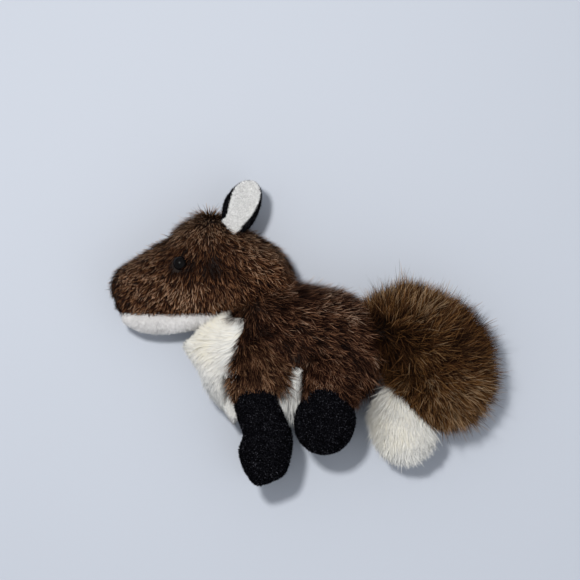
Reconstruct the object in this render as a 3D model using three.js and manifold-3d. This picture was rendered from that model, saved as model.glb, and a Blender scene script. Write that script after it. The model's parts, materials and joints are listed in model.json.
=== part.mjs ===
// A plush fox finger puppet lying on its right side, nose towards -X, back towards +Y, left side up.
// Millimetres, +Z up. Each pile cover is modelled to the envelope of its fur.
import * as THREE from 'three';
import { mergeVertices } from 'three/addons/utils/BufferGeometryUtils.js';
import Module from 'manifold-3d';

const wasm = await Module();
wasm.setup();

// Fits
const FIT = 0.3; // gap kept between neighbouring pieces
const SWING_FIT = 0.4; // gap kept around a piece that swings
const TABLE_FLAT = 0.5; // how far the lying side is pressed flat
const SWEEP_STEP = 15; // degrees between the copies that clear a swinging piece

// Body
const BODY_LENGTH = 83; // chest front to rump
const BODY_DEPTH = 62; // back to chest tip
const BODY_WIDTH = 43; // flank to flank
const BODY_PILE = 5; // fabric and fur of the body cover and the white panel
const BODY_TAPER = 0.18; // how much narrower the belly is than the back

// Finger pocket
const POCKET_WIDTH = 14; // along the body
const POCKET_SPAN = 18; // across the body
const POCKET_DEPTH = 36; // mouth to closed end
const POCKET_WALL = 1.2; // lining cloth

// Head
const HEAD_LENGTH = 67.6; // neck pivot to muzzle tip
const HEAD_HEIGHT = 52; // crown to chin
const HEAD_WIDTH = 38; // cheek to cheek
const HEAD_PILE = 4; // fabric and fur of the head
const NECK_RADIUS = 16; // round neck that the head nods on
const NECK_SPAN = 35; // neck across the body
const NOD_DOWN = 6; // degrees, chin to chest
const NOD_UP = 24; // degrees

// Eyes
const EYE_DIAMETER = 6;
const EYE_DOME = 2.6; // height of the glossy dome
const EYE_SINK = 0.65; // how far the dome sits in the pile
const EYE_SHANK_DIAMETER = 2.4;
const EYE_SHANK_LENGTH = 9;
const WASHER_DIAMETER = 9;
const WASHER_THICKNESS = 1.5;

// Ears
const EAR_LENGTH = 22.5;
const EAR_WIDTH = 15;
const EAR_ROOT_WIDTH = 8;
const EAR_LAYER = 1.4; // one layer of fabric
const EAR_MARGIN = 1.2; // black edge that shows around the lining
const EAR_HEADING = 66; // degrees from +X
const EAR_FOLD_IN = 20; // degrees
const EAR_FOLD_OUT = 16; // degrees

// Legs
const LEG_PILE = 3; // fabric and pile of a leg
const LEG_SPREAD = 14; // middle of a boot from the body's middle
const LEG_ROOT_SPREAD = 17; // middle of a leg's root from the body's middle
const LEG_ROOT_SPAN = 9; // thickness of a leg where it is sewn on
const FRONT_ROOT_RADIUS = 11.5;
const FRONT_LEG_LENGTH = 51; // shoulder pivot to the end of the paw
const FRONT_LEG_WIDTH = 20.6;
const FRONT_BOOT_SPAN = 14.6; // thickness of the front boot
const FRONT_BOOT_START = 12; // shoulder pivot to the boot seam
const FRONT_SWING = 18; // degrees forward
const HIND_ROOT_RADIUS = 9.5;
const HIND_LEG_LENGTH = 35;
const HIND_LEG_WIDTH = 26.6;
const HIND_BOOT_SPAN = 17;
const HIND_BOOT_START = 7.5;
const HIND_SWING = 9; // degrees backward

// Tail
const TAIL_REACH = 49.5; // curl centre to the outer fur
const TAIL_SPAN = 41; // thickness of the bushy part
const TAIL_PILE = 8; // fabric and long fur
const TAIL_ROOT_RADIUS = 11;
const TAIL_CURL_OUT = 11.5; // curl centre behind the root
const TAIL_CURL_DROP = 23; // curl centre below the root
const TAIL_SEAM_OFFSET = 5.5; // curl centre to the white tip's seam
const TAIL_SEAM_HEADING = 227.5; // degrees, from the curl centre to the seam
const TAIL_LIFT = 30; // degrees

// Heights of the middle of each form above the table
const BODY_MIDDLE = BODY_WIDTH / 2 - TABLE_FLAT;
const HEAD_MIDDLE = HEAD_WIDTH / 2 - TABLE_FLAT;
const TAIL_MIDDLE = TAIL_SPAN / 2 - TABLE_FLAT;
const FAR = 400; // reach of the cutting planes

// Body and head profiles: station along the length, top and bottom as shares of the height, and the share
// of the width
const BODY_PROFILE = [
  [-0.5, 0.08, 0.0, 0.23],
  [-0.464, 0.137, -0.097, 0.47],
  [-0.416, 0.177, -0.226, 0.65],
  [-0.343, 0.226, -0.435, 0.79],
  [-0.271, 0.323, -0.54, 0.88],
  [-0.175, 0.452, -0.47, 0.95],
  [-0.054, 0.508, -0.4, 1],
  [0.066, 0.484, -0.38, 1],
  [0.187, 0.456, -0.37, 1],
  [0.295, 0.424, -0.347, 0.96],
  [0.38, 0.363, -0.306, 0.87],
  [0.452, 0.25, -0.226, 0.68],
  [0.5, 0.081, -0.097, 0.3],
];
const HEAD_PROFILE = [
  [1, 0.117, -0.017, 0.2],
  [0.97, 0.175, -0.133, 0.42],
  [0.911, 0.252, -0.277, 0.55],
  [0.822, 0.31, -0.358, 0.61],
  [0.719, 0.383, -0.385, 0.68],
  [0.6, 0.46, -0.381, 0.78],
  [0.497, 0.562, -0.358, 0.9],
  [0.393, 0.613, -0.308, 0.98],
  [0.275, 0.588, -0.285, 1],
  [0.157, 0.512, -0.285, 1],
  [0.038, 0.435, -0.277, 0.97],
  [-0.08, 0.358, -0.219, 0.88],
  [-0.169, 0.223, -0.085, 0.6],
];
// Legs below the root: share of the length, sideways shift and half width as shares of the width, and the
// share of the span
const FRONT_LEG_PROFILE = [
  [0.24, -0.02, 0.46, 0.8],
  [0.4, 0.09, 0.5, 0.98],
  [0.58, 0.24, 0.52, 1],
  [0.74, 0.18, 0.555, 1],
  [0.9, 0.16, 0.42, 0.84],
  [0.97, 0.12, 0.24, 0.5],
  [1, 0.08, 0.08, 0.16],
];
const HIND_LEG_PROFILE = [
  [0.3, 0.045, 0.4, 0.8],
  [0.43, 0.03, 0.46, 0.95],
  [0.6, 0.02, 0.5, 1],
  [0.8, 0.01, 0.435, 0.9],
  [0.93, 0.01, 0.27, 0.58],
  [1, 0.01, 0.07, 0.16],
];
const LEG_ROOT_RINGS = [0.96, 0.7, 0]; // above the pivot, as shares of the root's radius
const LEG_ROOT_EDGE = 0.8; // how much the root thins towards its edge
// Tail: heading from the curl centre, shares of the inner and outer reach, and the share of the span
const TAIL_PROFILE = [
  [122, 0.3, 0.74, 0.5],
  [106, 0.16, 0.755, 0.72],
  [84, 0.06, 0.78, 0.92],
  [54, 0.05, 0.845, 1],
  [24, 0.05, 0.94, 1],
  [-3, 0.05, 1, 1],
  [-22, 0.05, 0.945, 0.98],
  [-38, 0.05, 0.79, 0.94],
  [-48, 0.05, 0.74, 0.9],
  [-60, 0.05, 0.91, 0.9],
  [-74, 0.05, 0.89, 0.88],
  [-88, 0.08, 0.82, 0.82],
  [-100, 0.15, 0.72, 0.7],
  [-108, 0.25, 0.61, 0.46],
  [-112, 0.36, 0.5, 0.2],
];

// Finger pocket: share of the depth, share of the width
const POCKET_PROFILE = [[0.5, 1], [0.8, 0.92], [0.93, 0.7], [1, 0.3]];
// Ear outline's handles: share of the length, share of the half width
const EAR_PROFILE = [[0.3, 1.25], [0.7, 1.1]];

// Places of the joints and openings, as shares of the form that carries them
const NECK = new THREE.Vector2(-0.095 * BODY_LENGTH, 0.442 * BODY_DEPTH);
const NECK_HEADING = 150; // degrees from +X, from the neck pivot to the head
const SHOULDER = new THREE.Vector2(-0.151 * BODY_LENGTH, -0.097 * BODY_DEPTH);
const HIP = new THREE.Vector2(0.199 * BODY_LENGTH, -0.145 * BODY_DEPTH);
const TAIL_ROOT = new THREE.Vector2(0.404 * BODY_LENGTH, 0.226 * BODY_DEPTH);
const TAIL_CURL = new THREE.Vector2(TAIL_ROOT.x + TAIL_CURL_OUT, TAIL_ROOT.y - TAIL_CURL_DROP);
const POCKET_X = 0.042 * BODY_LENGTH;
const EYE = new THREE.Vector2(NECK.x - 0.544 * HEAD_LENGTH, NECK.y + 0.198 * HEAD_HEIGHT);
const EAR_ROOT = new THREE.Vector2(NECK.x - 0.23 * HEAD_LENGTH, NECK.y + 0.492 * HEAD_HEIGHT);
const CHIN_SEAM = NECK.y - 0.21 * HEAD_HEIGHT;
const CHIN_REAR = NECK.x - 0.35 * HEAD_LENGTH;

// Seam between the brown cover and the white panel, as shares of the body's length and depth
const PANEL_SEAM = [
  [-0.7, 0.34],
  [-0.2, 0.22],
  [-0.24, 0.02],
  [-0.16, -0.12],
  [-0.04, -0.15],
  [0.066, -0.1],
  [0.2, -0.2],
  [0.7, -0.26],
];

const COLOURS = {
  brown: 0x3f2a1e,
  tailBrown: 0x45301c,
  white: 0xe9e6d8,
  black: 0x0d0d10,
  lining: 0xd6d5cf,
  fibre: 0xf1efe8,
  cloth: 0xb9a78e,
  eye: 0x060505,
  nylon: 0x222222,
};

const ROUGHNESS = { pile: 0.95, eye: 0.08, nylon: 0.5 };

function material(colour, roughness) {
  return new THREE.MeshStandardMaterial({ color: colour, roughness, metalness: 0 });
}

// Solids

const KNUCKLE_RINGS = 5;

function toSolid(geometry) {
  const bare = geometry.clone();
  bare.deleteAttribute('normal');
  bare.deleteAttribute('uv');
  const merged = mergeVertices(bare, 1e-4);
  return new wasm.Manifold(new wasm.Mesh({
    numProp: 3,
    vertProperties: new Float32Array(merged.attributes.position.array),
    triVerts: new Uint32Array(merged.index.array),
  }));
}

function toMesh(solid, name, colour, roughness = ROUGHNESS.pile) {
  const { vertProperties, triVerts } = solid.getMesh();
  const geometry = new THREE.BufferGeometry();
  geometry.setAttribute('position', new THREE.BufferAttribute(vertProperties, 3));
  geometry.setIndex(new THREE.BufferAttribute(triVerts, 1));
  geometry.computeVertexNormals();
  const mesh = new THREE.Mesh(geometry, material(colour, roughness));
  mesh.name = name;
  return mesh;
}

function boxSolid(low, high) {
  const size = new THREE.Vector3().subVectors(high, low);
  const geometry = new THREE.BoxGeometry(size.x, size.y, size.z);
  geometry.translate((low.x + high.x) / 2, (low.y + high.y) / 2, (low.z + high.z) / 2);
  return toSolid(geometry);
}

// Everything on the far side of an upright plane at a distance from a point, along a heading in the plan
function halfSpace(point, heading, distance) {
  const geometry = new THREE.BoxGeometry(FAR, FAR, FAR);
  geometry.translate(distance + FAR / 2, 0, 0);
  geometry.rotateZ(THREE.MathUtils.degToRad(heading));
  geometry.translate(point.x, point.y, 0);
  return toSolid(geometry);
}

// Solid of revolution about an upright axis, rounded above and below
function knuckle(point, middle, radius, span, sides) {
  const profile = [new THREE.Vector2(0, -span / 2)];
  for (let i = 1; i < KNUCKLE_RINGS; i += 1) {
    const angle = -Math.PI / 2 + (Math.PI * i) / KNUCKLE_RINGS;
    profile.push(new THREE.Vector2(radius * Math.sqrt(Math.cos(angle)), (span / 2) * Math.sin(angle)));
  }
  profile.push(new THREE.Vector2(0, span / 2));
  const geometry = new THREE.LatheGeometry(profile, sides);
  geometry.rotateX(Math.PI / 2);
  geometry.translate(point.x, point.y, middle);
  return geometry;
}

function cylinder(point, low, high, radius, sides) {
  const geometry = new THREE.CylinderGeometry(radius, radius, high - low, sides);
  geometry.rotateX(Math.PI / 2);
  geometry.translate(point.x, point.y, (low + high) / 2);
  return geometry;
}

const TABLE = boxSolid(new THREE.Vector3(-FAR, -FAR, -FAR), new THREE.Vector3(FAR, FAR, 0));

// Soft forms: closed lofts over oval sections. Each station has its middle, the direction of its width in
// the plan, half its width and half its thickness.

function station(x, y, z, heading, half, thick) {
  const angle = THREE.MathUtils.degToRad(heading);
  return {
    middle: new THREE.Vector3(x, y, z),
    across: new THREE.Vector3(Math.cos(angle), Math.sin(angle), 0),
    half,
    thick,
  };
}

// The same form larger or smaller all round. Stations that shrink to nothing are left out.
function offset(stations, distance) {
  const kept = stations
    .map((s) => ({ ...s, half: s.half + distance, thick: s.thick + distance }))
    .filter((s) => s.half > FIT && s.thick > FIT);
  if (distance <= 0) {
    return kept;
  }
  const last = kept.length - 1;
  const shift = (end, next) => {
    const step = new THREE.Vector3().subVectors(kept[end].middle, kept[next].middle).setLength(distance);
    kept[end] = { ...kept[end], middle: kept[end].middle.clone().add(step) };
  };
  shift(0, 1);
  shift(last, last - 1);
  return kept;
}

function softForm(stations, sides, taper = 0) {
  const points = [];
  for (const s of stations) {
    for (let i = 0; i < sides; i += 1) {
      const angle = (2 * Math.PI * i) / sides;
      const lift = s.thick * Math.sin(angle) * (1 + taper * Math.cos(angle));
      const point = s.middle.clone().addScaledVector(s.across, s.half * Math.cos(angle));
      points.push(point.x, point.y, point.z + lift);
    }
  }
  const ends = [stations[0].middle, stations[stations.length - 1].middle];
  const first = points.length / 3;
  ends.forEach((end) => points.push(end.x, end.y, end.z));
  const faces = [];
  for (let r = 0; r < stations.length - 1; r += 1) {
    for (let i = 0; i < sides; i += 1) {
      const a = r * sides + i;
      const b = r * sides + ((i + 1) % sides);
      faces.push(a, b, b + sides, a, b + sides, a + sides);
    }
  }
  const top = (stations.length - 1) * sides;
  for (let i = 0; i < sides; i += 1) {
    const next = (i + 1) % sides;
    faces.push(first, next, i);
    faces.push(first + 1, top + i, top + next);
  }
  const geometry = new THREE.BufferGeometry();
  geometry.setAttribute('position', new THREE.Float32BufferAttribute(points, 3));
  geometry.setIndex(faces);
  return outward(geometry);
}

// Turns a closed geometry so that its faces point out
function outward(geometry) {
  const position = geometry.attributes.position;
  const index = geometry.index.array;
  const corner = [0, 1, 2].map(() => new THREE.Vector3());
  let volume = 0;
  for (let i = 0; i < index.length; i += 3) {
    corner.forEach((c, k) => c.fromBufferAttribute(position, index[i + k]));
    volume += corner[0].dot(corner[1].clone().cross(corner[2]));
  }
  if (volume < 0) {
    for (let i = 0; i < index.length; i += 3) {
      [index[i], index[i + 1]] = [index[i + 1], index[i]];
    }
  }
  return geometry;
}

// All the room that a piece takes while it turns about an axis from one angle to another
function swept(geometry, pivot, axis, from, to) {
  const steps = Math.max(1, Math.ceil(Math.abs(to - from) / SWEEP_STEP));
  let room = null;
  for (let i = 0; i <= steps; i += 1) {
    const angle = THREE.MathUtils.degToRad(from + ((to - from) * i) / steps);
    const turn = new THREE.Matrix4().makeTranslation(pivot.x, pivot.y, pivot.z)
      .multiply(new THREE.Matrix4().makeRotationAxis(axis, angle))
      .multiply(new THREE.Matrix4().makeTranslation(-pivot.x, -pivot.y, -pivot.z));
    const copy = toSolid(geometry.clone().applyMatrix4(turn));
    room = room ? room.add(copy) : copy;
  }
  return room;
}

const UPRIGHT = new THREE.Vector3(0, 0, 1);

function at(point, z) {
  return new THREE.Vector3(point.x, point.y, z);
}

// Stations of each form

const bodyStations = BODY_PROFILE.map(([along, top, bottom, width]) => station(
  along * BODY_LENGTH,
  ((top + bottom) / 2) * BODY_DEPTH,
  BODY_MIDDLE,
  90,
  ((top - bottom) / 2) * BODY_DEPTH,
  (width * BODY_WIDTH) / 2,
));

const headStations = HEAD_PROFILE.map(([along, top, bottom, width]) => station(
  NECK.x - along * HEAD_LENGTH,
  NECK.y + ((top + bottom) / 2) * HEAD_HEIGHT,
  HEAD_MIDDLE,
  90,
  ((top - bottom) / 2) * HEAD_HEIGHT,
  (width * HEAD_WIDTH) / 2,
));

const tailStations = TAIL_PROFILE.map(([heading, inner, outer, span]) => {
  const angle = THREE.MathUtils.degToRad(heading);
  const reach = ((inner + outer) / 2) * TAIL_REACH;
  return station(
    TAIL_CURL.x + reach * Math.cos(angle),
    TAIL_CURL.y + reach * Math.sin(angle),
    TAIL_MIDDLE,
    heading,
    ((outer - inner) / 2) * TAIL_REACH,
    (span * TAIL_SPAN) / 2,
  );
});

// A leg starts as a disc about its pivot, flat on the flank, and swells into its boot
function legStations(leg, side) {
  const root = LEG_ROOT_RINGS.map((share) => station(
    leg.pivot.x,
    leg.pivot.y + share * leg.rootRadius,
    BODY_MIDDLE + side * LEG_ROOT_SPREAD,
    0,
    leg.rootRadius * Math.sqrt(1 - share ** 2),
    (LEG_ROOT_SPAN / 2) * Math.sqrt(1 - LEG_ROOT_EDGE * share ** 2),
  ));
  const limb = leg.profile.map(([along, shift, half, span]) => station(
    leg.pivot.x + shift * leg.width,
    leg.pivot.y - along * leg.length,
    BODY_MIDDLE + side * LEG_SPREAD,
    0,
    half * leg.width,
    (span * leg.bootSpan) / 2,
  ));
  return [...root, ...limb];
}

const LEGS = {
  front_leg: {
    pivot: SHOULDER,
    rootRadius: FRONT_ROOT_RADIUS,
    profile: FRONT_LEG_PROFILE,
    length: FRONT_LEG_LENGTH,
    width: FRONT_LEG_WIDTH,
    bootSpan: FRONT_BOOT_SPAN,
    bootStart: FRONT_BOOT_START,
    from: -FRONT_SWING,
    to: 0,
  },
  hind_leg: {
    pivot: HIP,
    rootRadius: HIND_ROOT_RADIUS,
    profile: HIND_LEG_PROFILE,
    length: HIND_LEG_LENGTH,
    width: HIND_LEG_WIDTH,
    bootSpan: HIND_BOOT_SPAN,
    bootStart: HIND_BOOT_START,
    from: 0,
    to: HIND_SWING,
  },
};
const SIDES = { left: 1, right: -1 };

// Height of a form's upper or lower skin over a point of the plan
function skinHeight(stations, point, side) {
  const ahead = stations.map((s) => s.middle.x - point.x);
  const next = ahead.findIndex((gap, i) => i > 0 && gap * ahead[i - 1] <= 0);
  const [a, b] = [stations[next - 1], stations[next]];
  const share = (point.x - a.middle.x) / (b.middle.x - a.middle.x);
  const mix = (u, v) => u + (v - u) * share;
  const across = (point.y - mix(a.middle.y, b.middle.y)) / mix(a.half, b.half);
  const rise = mix(a.thick, b.thick) * Math.sqrt(Math.max(0, 1 - across * across));
  return mix(a.middle.z, b.middle.z) + side * rise;
}

// Legs

const LEG_FACETS = 10;
const LEG_HOLLOW_FACETS = 8;

function legNodes(kind, sideName) {
  const leg = LEGS[kind];
  const stations = legStations(leg, SIDES[sideName]);
  const outer = toSolid(softForm(stations, LEG_FACETS)).subtract(TABLE);
  const lining = toSolid(softForm(offset(stations, -LEG_PILE), LEG_HOLLOW_FACETS));
  const filling = toSolid(softForm(offset(stations, -LEG_PILE - FIT), LEG_HOLLOW_FACETS));
  const boot = halfSpace(leg.pivot, -90, leg.bootStart + FIT);
  const upper = halfSpace(leg.pivot, 90, -leg.bootStart);
  const name = `${kind}_${sideName}`;
  return [
    toMesh(outer.intersect(upper).subtract(lining), `${name}_upper`, COLOURS.brown),
    toMesh(outer.intersect(boot).subtract(lining), `${name}_boot`, COLOURS.black),
    toMesh(filling.subtract(TABLE), `${name}_stuffing`, COLOURS.fibre),
  ];
}

function legRoom(kind, sideName) {
  const leg = LEGS[kind];
  const grown = softForm(offset(legStations(leg, SIDES[sideName]), SWING_FIT), LEG_FACETS);
  return swept(grown, at(leg.pivot, 0), UPRIGHT, leg.from, leg.to);
}

// Tail

const TAIL_FACETS = 12;
const TAIL_HOLLOW_FACETS = 10;

function tailLoft(distance) {
  return softForm(offset(tailStations, distance), distance < 0 ? TAIL_HOLLOW_FACETS : TAIL_FACETS);
}

// The round root that the tail turns on
function tailRoot(distance) {
  const radius = TAIL_ROOT_RADIUS + distance;
  return toSolid(knuckle(TAIL_ROOT, TAIL_MIDDLE, radius, 2 * radius, TAIL_FACETS));
}

function tailNodes() {
  const outer = toSolid(tailLoft(0)).add(tailRoot(0)).subtract(TABLE);
  const lining = toSolid(tailLoft(-TAIL_PILE));
  const filling = toSolid(tailLoft(-TAIL_PILE - FIT));
  const tip = halfSpace(TAIL_CURL, TAIL_SEAM_HEADING, TAIL_SEAM_OFFSET + FIT);
  const brown = halfSpace(TAIL_CURL, TAIL_SEAM_HEADING - 180, -TAIL_SEAM_OFFSET);
  return [
    toMesh(outer.intersect(brown).subtract(lining), 'tail_cover', COLOURS.tailBrown),
    toMesh(outer.intersect(tip).subtract(lining), 'tail_tip', COLOURS.white),
    toMesh(filling, 'tail_stuffing', COLOURS.fibre),
  ];
}

function tailRoom() {
  const loft = swept(tailLoft(SWING_FIT), at(TAIL_ROOT, 0), UPRIGHT, 0, TAIL_LIFT);
  return loft.add(tailRoot(SWING_FIT));
}

// Ears

const EAR_SEGMENTS = 7;

function earShape(margin, lean) {
  const length = EAR_LENGTH - margin;
  const half = EAR_WIDTH / 2 - margin;
  const root = EAR_ROOT_WIDTH / 2 - margin / 2;
  const [low, high] = EAR_PROFILE.map(([along, out]) => new THREE.Vector2(along * length, out * half));
  const shape = new THREE.Shape();
  shape.moveTo(0, -root);
  shape.bezierCurveTo(low.x, -low.y, high.x, -high.y, length, lean);
  shape.bezierCurveTo(high.x, high.y, low.x, low.y, 0, root);
  shape.closePath();
  return shape;
}

function earLayer(margin, lean, low, high, side) {
  const geometry = new THREE.ExtrudeGeometry(earShape(margin, lean), {
    depth: high - low,
    bevelEnabled: false,
    curveSegments: EAR_SEGMENTS,
  });
  geometry.translate(0, 0, side > 0 ? low : -high);
  geometry.rotateZ(THREE.MathUtils.degToRad(EAR_HEADING));
  geometry.translate(EAR_ROOT.x, EAR_ROOT.y, earHeight(side));
  return geometry;
}

function earHeight(side) {
  return skinHeight(headStations, EAR_ROOT, side);
}

function earNodes(sideName) {
  const side = SIDES[sideName];
  const back = earLayer(0, 0, -EAR_LAYER - FIT / 2, -FIT / 2, side);
  const lining = earLayer(EAR_MARGIN, EAR_MARGIN, FIT / 2, EAR_LAYER + FIT / 2, side);
  return [
    toMesh(toSolid(back), `ear_${sideName}_back`, COLOURS.black),
    toMesh(toSolid(lining), `ear_${sideName}_lining`, COLOURS.lining),
  ];
}

function earRoom(sideName) {
  const side = SIDES[sideName];
  const reach = EAR_LAYER + FIT / 2 + SWING_FIT;
  const heading = THREE.MathUtils.degToRad(EAR_HEADING - 90);
  const axis = new THREE.Vector3(Math.cos(heading), Math.sin(heading), 0);
  const block = earLayer(-SWING_FIT, 0, -reach, reach, side);
  return swept(block, at(EAR_ROOT, earHeight(side)), axis, -side * EAR_FOLD_IN, side * EAR_FOLD_OUT);
}

// Eyes: a dome on a shank that points into the head, and a washer on the shank

const EYE_FACETS = 12;
const EYE_RINGS = 3;

function eyeGeometry(side, distance) {
  const radius = EYE_DIAMETER / 2 + distance;
  const shank = EYE_SHANK_DIAMETER / 2 + distance;
  const profile = [new THREE.Vector2(0, -EYE_SHANK_LENGTH - distance)];
  profile.push(new THREE.Vector2(shank, -EYE_SHANK_LENGTH - distance));
  profile.push(new THREE.Vector2(shank, -distance));
  profile.push(new THREE.Vector2(radius, -distance));
  for (let i = 1; i < EYE_RINGS; i += 1) {
    const angle = (Math.PI * i) / (2 * EYE_RINGS);
    profile.push(new THREE.Vector2(radius * Math.cos(angle), (EYE_DOME + distance) * Math.sin(angle)));
  }
  profile.push(new THREE.Vector2(0, EYE_DOME + distance));
  return placedOnEye(new THREE.LatheGeometry(profile, EYE_FACETS), side);
}

function washerGeometry(side, distance) {
  const bore = EYE_SHANK_DIAMETER / 2 + FIT - distance;
  const radius = WASHER_DIAMETER / 2 + distance;
  const top = -HEAD_PILE - EYE_DOME / 2 - FIT + distance;
  const bottom = top - WASHER_THICKNESS - 2 * distance;
  const corners = [[bore, bottom], [radius, bottom], [radius, top], [bore, top], [bore, bottom]];
  const profile = corners.map(([x, y]) => new THREE.Vector2(x, y));
  return placedOnEye(new THREE.LatheGeometry(profile, EYE_FACETS), side);
}

function placedOnEye(geometry, side) {
  geometry.rotateX(side > 0 ? Math.PI / 2 : -Math.PI / 2);
  geometry.translate(EYE.x, EYE.y, skinHeight(headStations, EYE, side) - side * EYE_SINK);
  return geometry;
}

function eyeNodes(sideName) {
  const side = SIDES[sideName];
  return [
    toMesh(toSolid(eyeGeometry(side, 0)), `eye_${sideName}`, COLOURS.eye, ROUGHNESS.eye),
    toMesh(toSolid(washerGeometry(side, 0)), `eye_washer_${sideName}`, COLOURS.nylon, ROUGHNESS.nylon),
  ];
}

function eyeRoom(sideName) {
  const side = SIDES[sideName];
  return toSolid(eyeGeometry(side, FIT)).add(toSolid(washerGeometry(side, FIT / 2)));
}

// Head

const HEAD_FACETS = 16;
const HEAD_HOLLOW_FACETS = 12;
const NECK_RIM = 0.34; // share of the neck radius that the head's rim stands ahead of the pivot

function headFront(distance) {
  const ahead = halfSpace(NECK, NECK_HEADING, NECK_RIM * NECK_RADIUS - Math.max(distance, 0));
  const facets = distance < 0 ? HEAD_HOLLOW_FACETS : HEAD_FACETS;
  return toSolid(softForm(offset(headStations, distance), facets)).intersect(ahead);
}

function headNodes() {
  const socket = toSolid(cylinder(NECK, -FAR, FAR, NECK_RADIUS + FIT, 2 * HEAD_FACETS));
  const trims = [earRoom('left'), earRoom('right'), eyeRoom('left'), eyeRoom('right')];
  const trimmed = (solid) => trims.reduce((rest, trim) => rest.subtract(trim), solid.subtract(socket));
  const outer = headFront(0).subtract(TABLE);
  const lining = headFront(-HEAD_PILE);
  const shell = outer.subtract(lining);
  const jaw = (gap) => boxSolid(
    new THREE.Vector3(-FAR, -FAR, -FAR),
    new THREE.Vector3(CHIN_REAR - gap, CHIN_SEAM - gap, FAR),
  );
  return [
    toMesh(trimmed(shell.subtract(jaw(0))), 'head_cover', COLOURS.brown),
    toMesh(trimmed(shell.intersect(jaw(FIT))), 'chin_panel', COLOURS.white),
    toMesh(trimmed(headFront(-HEAD_PILE - FIT)), 'head_stuffing', COLOURS.fibre),
  ];
}

// The room that the head takes from its highest nod to its lowest
function headRoom() {
  const grown = softForm(offset(headStations, SWING_FIT), HEAD_FACETS);
  const copies = [-NOD_UP, 0, NOD_DOWN].map((angle) => {
    const ahead = halfSpace(NECK, NECK_HEADING + angle, NECK_RIM * NECK_RADIUS - SWING_FIT);
    return swept(grown, at(NECK, 0), UPRIGHT, angle, angle).intersect(ahead);
  });
  return copies.reduce((room, copy) => room.add(copy));
}

// Body

const BODY_FACETS = 18;
const BODY_HOLLOW_FACETS = 12;
const POCKET_FACETS = 16;

function panelRegion(gap) {
  const points = PANEL_SEAM.map(([x, y]) => new THREE.Vector2(x * BODY_LENGTH, y * BODY_DEPTH));
  const moved = points.map((point, i) => {
    const before = points[Math.max(i - 1, 0)];
    const after = points[Math.min(i + 1, points.length - 1)];
    const along = new THREE.Vector2().subVectors(after, before).normalize();
    return new THREE.Vector2(point.x + along.y * gap, point.y - along.x * gap);
  });
  const shape = new THREE.Shape([
    ...moved,
    new THREE.Vector2(FAR, -FAR),
    new THREE.Vector2(-FAR, -FAR),
  ]);
  const geometry = new THREE.ExtrudeGeometry(shape, { depth: FAR, bevelEnabled: false });
  geometry.translate(0, 0, -FAR / 2);
  return toSolid(geometry);
}

// The pocket's sleeve or its bore, from a little below the belly to its closed end
function pocketForm(distance, below) {
  const ring = (y, share) => station(
    POCKET_X,
    y,
    BODY_MIDDLE,
    0,
    share * (POCKET_WIDTH / 2) + distance,
    share * (POCKET_SPAN / 2) + distance,
  );
  const belly = bellyLine();
  const end = belly + distance;
  const sleeve = POCKET_PROFILE.map(([along, share]) => ring(end + along * POCKET_DEPTH, share));
  return toSolid(softForm([ring(belly - below, 1), ...sleeve], POCKET_FACETS));
}

// Lowest line of the belly where the pocket opens
function bellyLine() {
  const next = bodyStations.findIndex((s) => s.middle.x > POCKET_X);
  const [a, b] = [bodyStations[next - 1], bodyStations[next]];
  return Math.max(a.middle.y - a.half, b.middle.y - b.half);
}

function bodyForm(distance) {
  const facets = distance < 0 ? BODY_HOLLOW_FACETS : BODY_FACETS;
  return toSolid(softForm(offset(bodyStations, distance), facets, BODY_TAPER));
}

function bodyNodes() {
  const rooms = [headRoom(), tailRoom()];
  for (const kind of Object.keys(LEGS)) {
    for (const sideName of Object.keys(SIDES)) {
      rooms.push(legRoom(kind, sideName));
    }
  }
  const cleared = (solid) => rooms.reduce((rest, room) => rest.subtract(room), solid);
  const neck = (distance) => toSolid(
    knuckle(NECK, BODY_MIDDLE, NECK_RADIUS + distance, NECK_SPAN + 2 * distance, BODY_FACETS),
  );
  const outer = cleared(bodyForm(0)).add(neck(0)).subtract(TABLE);
  const hollow = bodyForm(-BODY_PILE).add(neck(-BODY_PILE));
  const pocketRoom = pocketForm(POCKET_WALL + FIT, BODY_DEPTH);
  const shell = outer.subtract(hollow).subtract(pocketRoom);
  const filling = cleared(bodyForm(-BODY_PILE - FIT)).add(neck(-BODY_PILE - FIT));
  const sleeve = pocketForm(POCKET_WALL, 0).subtract(pocketForm(0, BODY_DEPTH));
  return [
    toMesh(shell.subtract(panelRegion(0)), 'body_cover', COLOURS.brown),
    toMesh(shell.intersect(panelRegion(FIT)), 'chest_and_belly_panel', COLOURS.white),
    toMesh(filling.subtract(pocketRoom).subtract(TABLE), 'body_stuffing', COLOURS.fibre),
    toMesh(cleared(sleeve), 'finger_pocket', COLOURS.cloth),
  ];
}

// Assembly

function gather(name, meshes) {
  const group = new THREE.Group();
  group.name = name;
  meshes.forEach((mesh) => group.add(mesh));
  return group;
}

const fox = new THREE.Group();
fox.name = 'fox_finger_puppet';
const head = gather('head', headNodes());
for (const sideName of Object.keys(SIDES)) {
  eyeNodes(sideName).forEach((mesh) => head.add(mesh));
  head.add(gather(`ear_${sideName}`, earNodes(sideName)));
}
fox.add(gather('torso', bodyNodes()), head, gather('tail', tailNodes()));
for (const kind of Object.keys(LEGS)) {
  for (const sideName of Object.keys(SIDES)) {
    fox.add(gather(`${kind}_${sideName}`, legNodes(kind, sideName)));
  }
}

// The origin is the middle of the part's box, on the table
const box = new THREE.Box3().setFromObject(fox);
fox.position.set(-(box.min.x + box.max.x) / 2, -(box.min.y + box.max.y) / 2, -box.min.z);

export default fox;
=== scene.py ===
"""Looks of a plush fox finger puppet that lies on its right side.

Each cover is a cloth skin with a combed pile on it, over a fibre filling. Sizes are millimetres in the
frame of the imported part: +X from the nose to the tail, +Y from the legs to the back, +Z up from the table.
"""

from __future__ import annotations

import json
import logging
import math
from dataclasses import dataclass, field, replace
from enum import Enum
from typing import Callable, Optional, Sequence, Union

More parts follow.
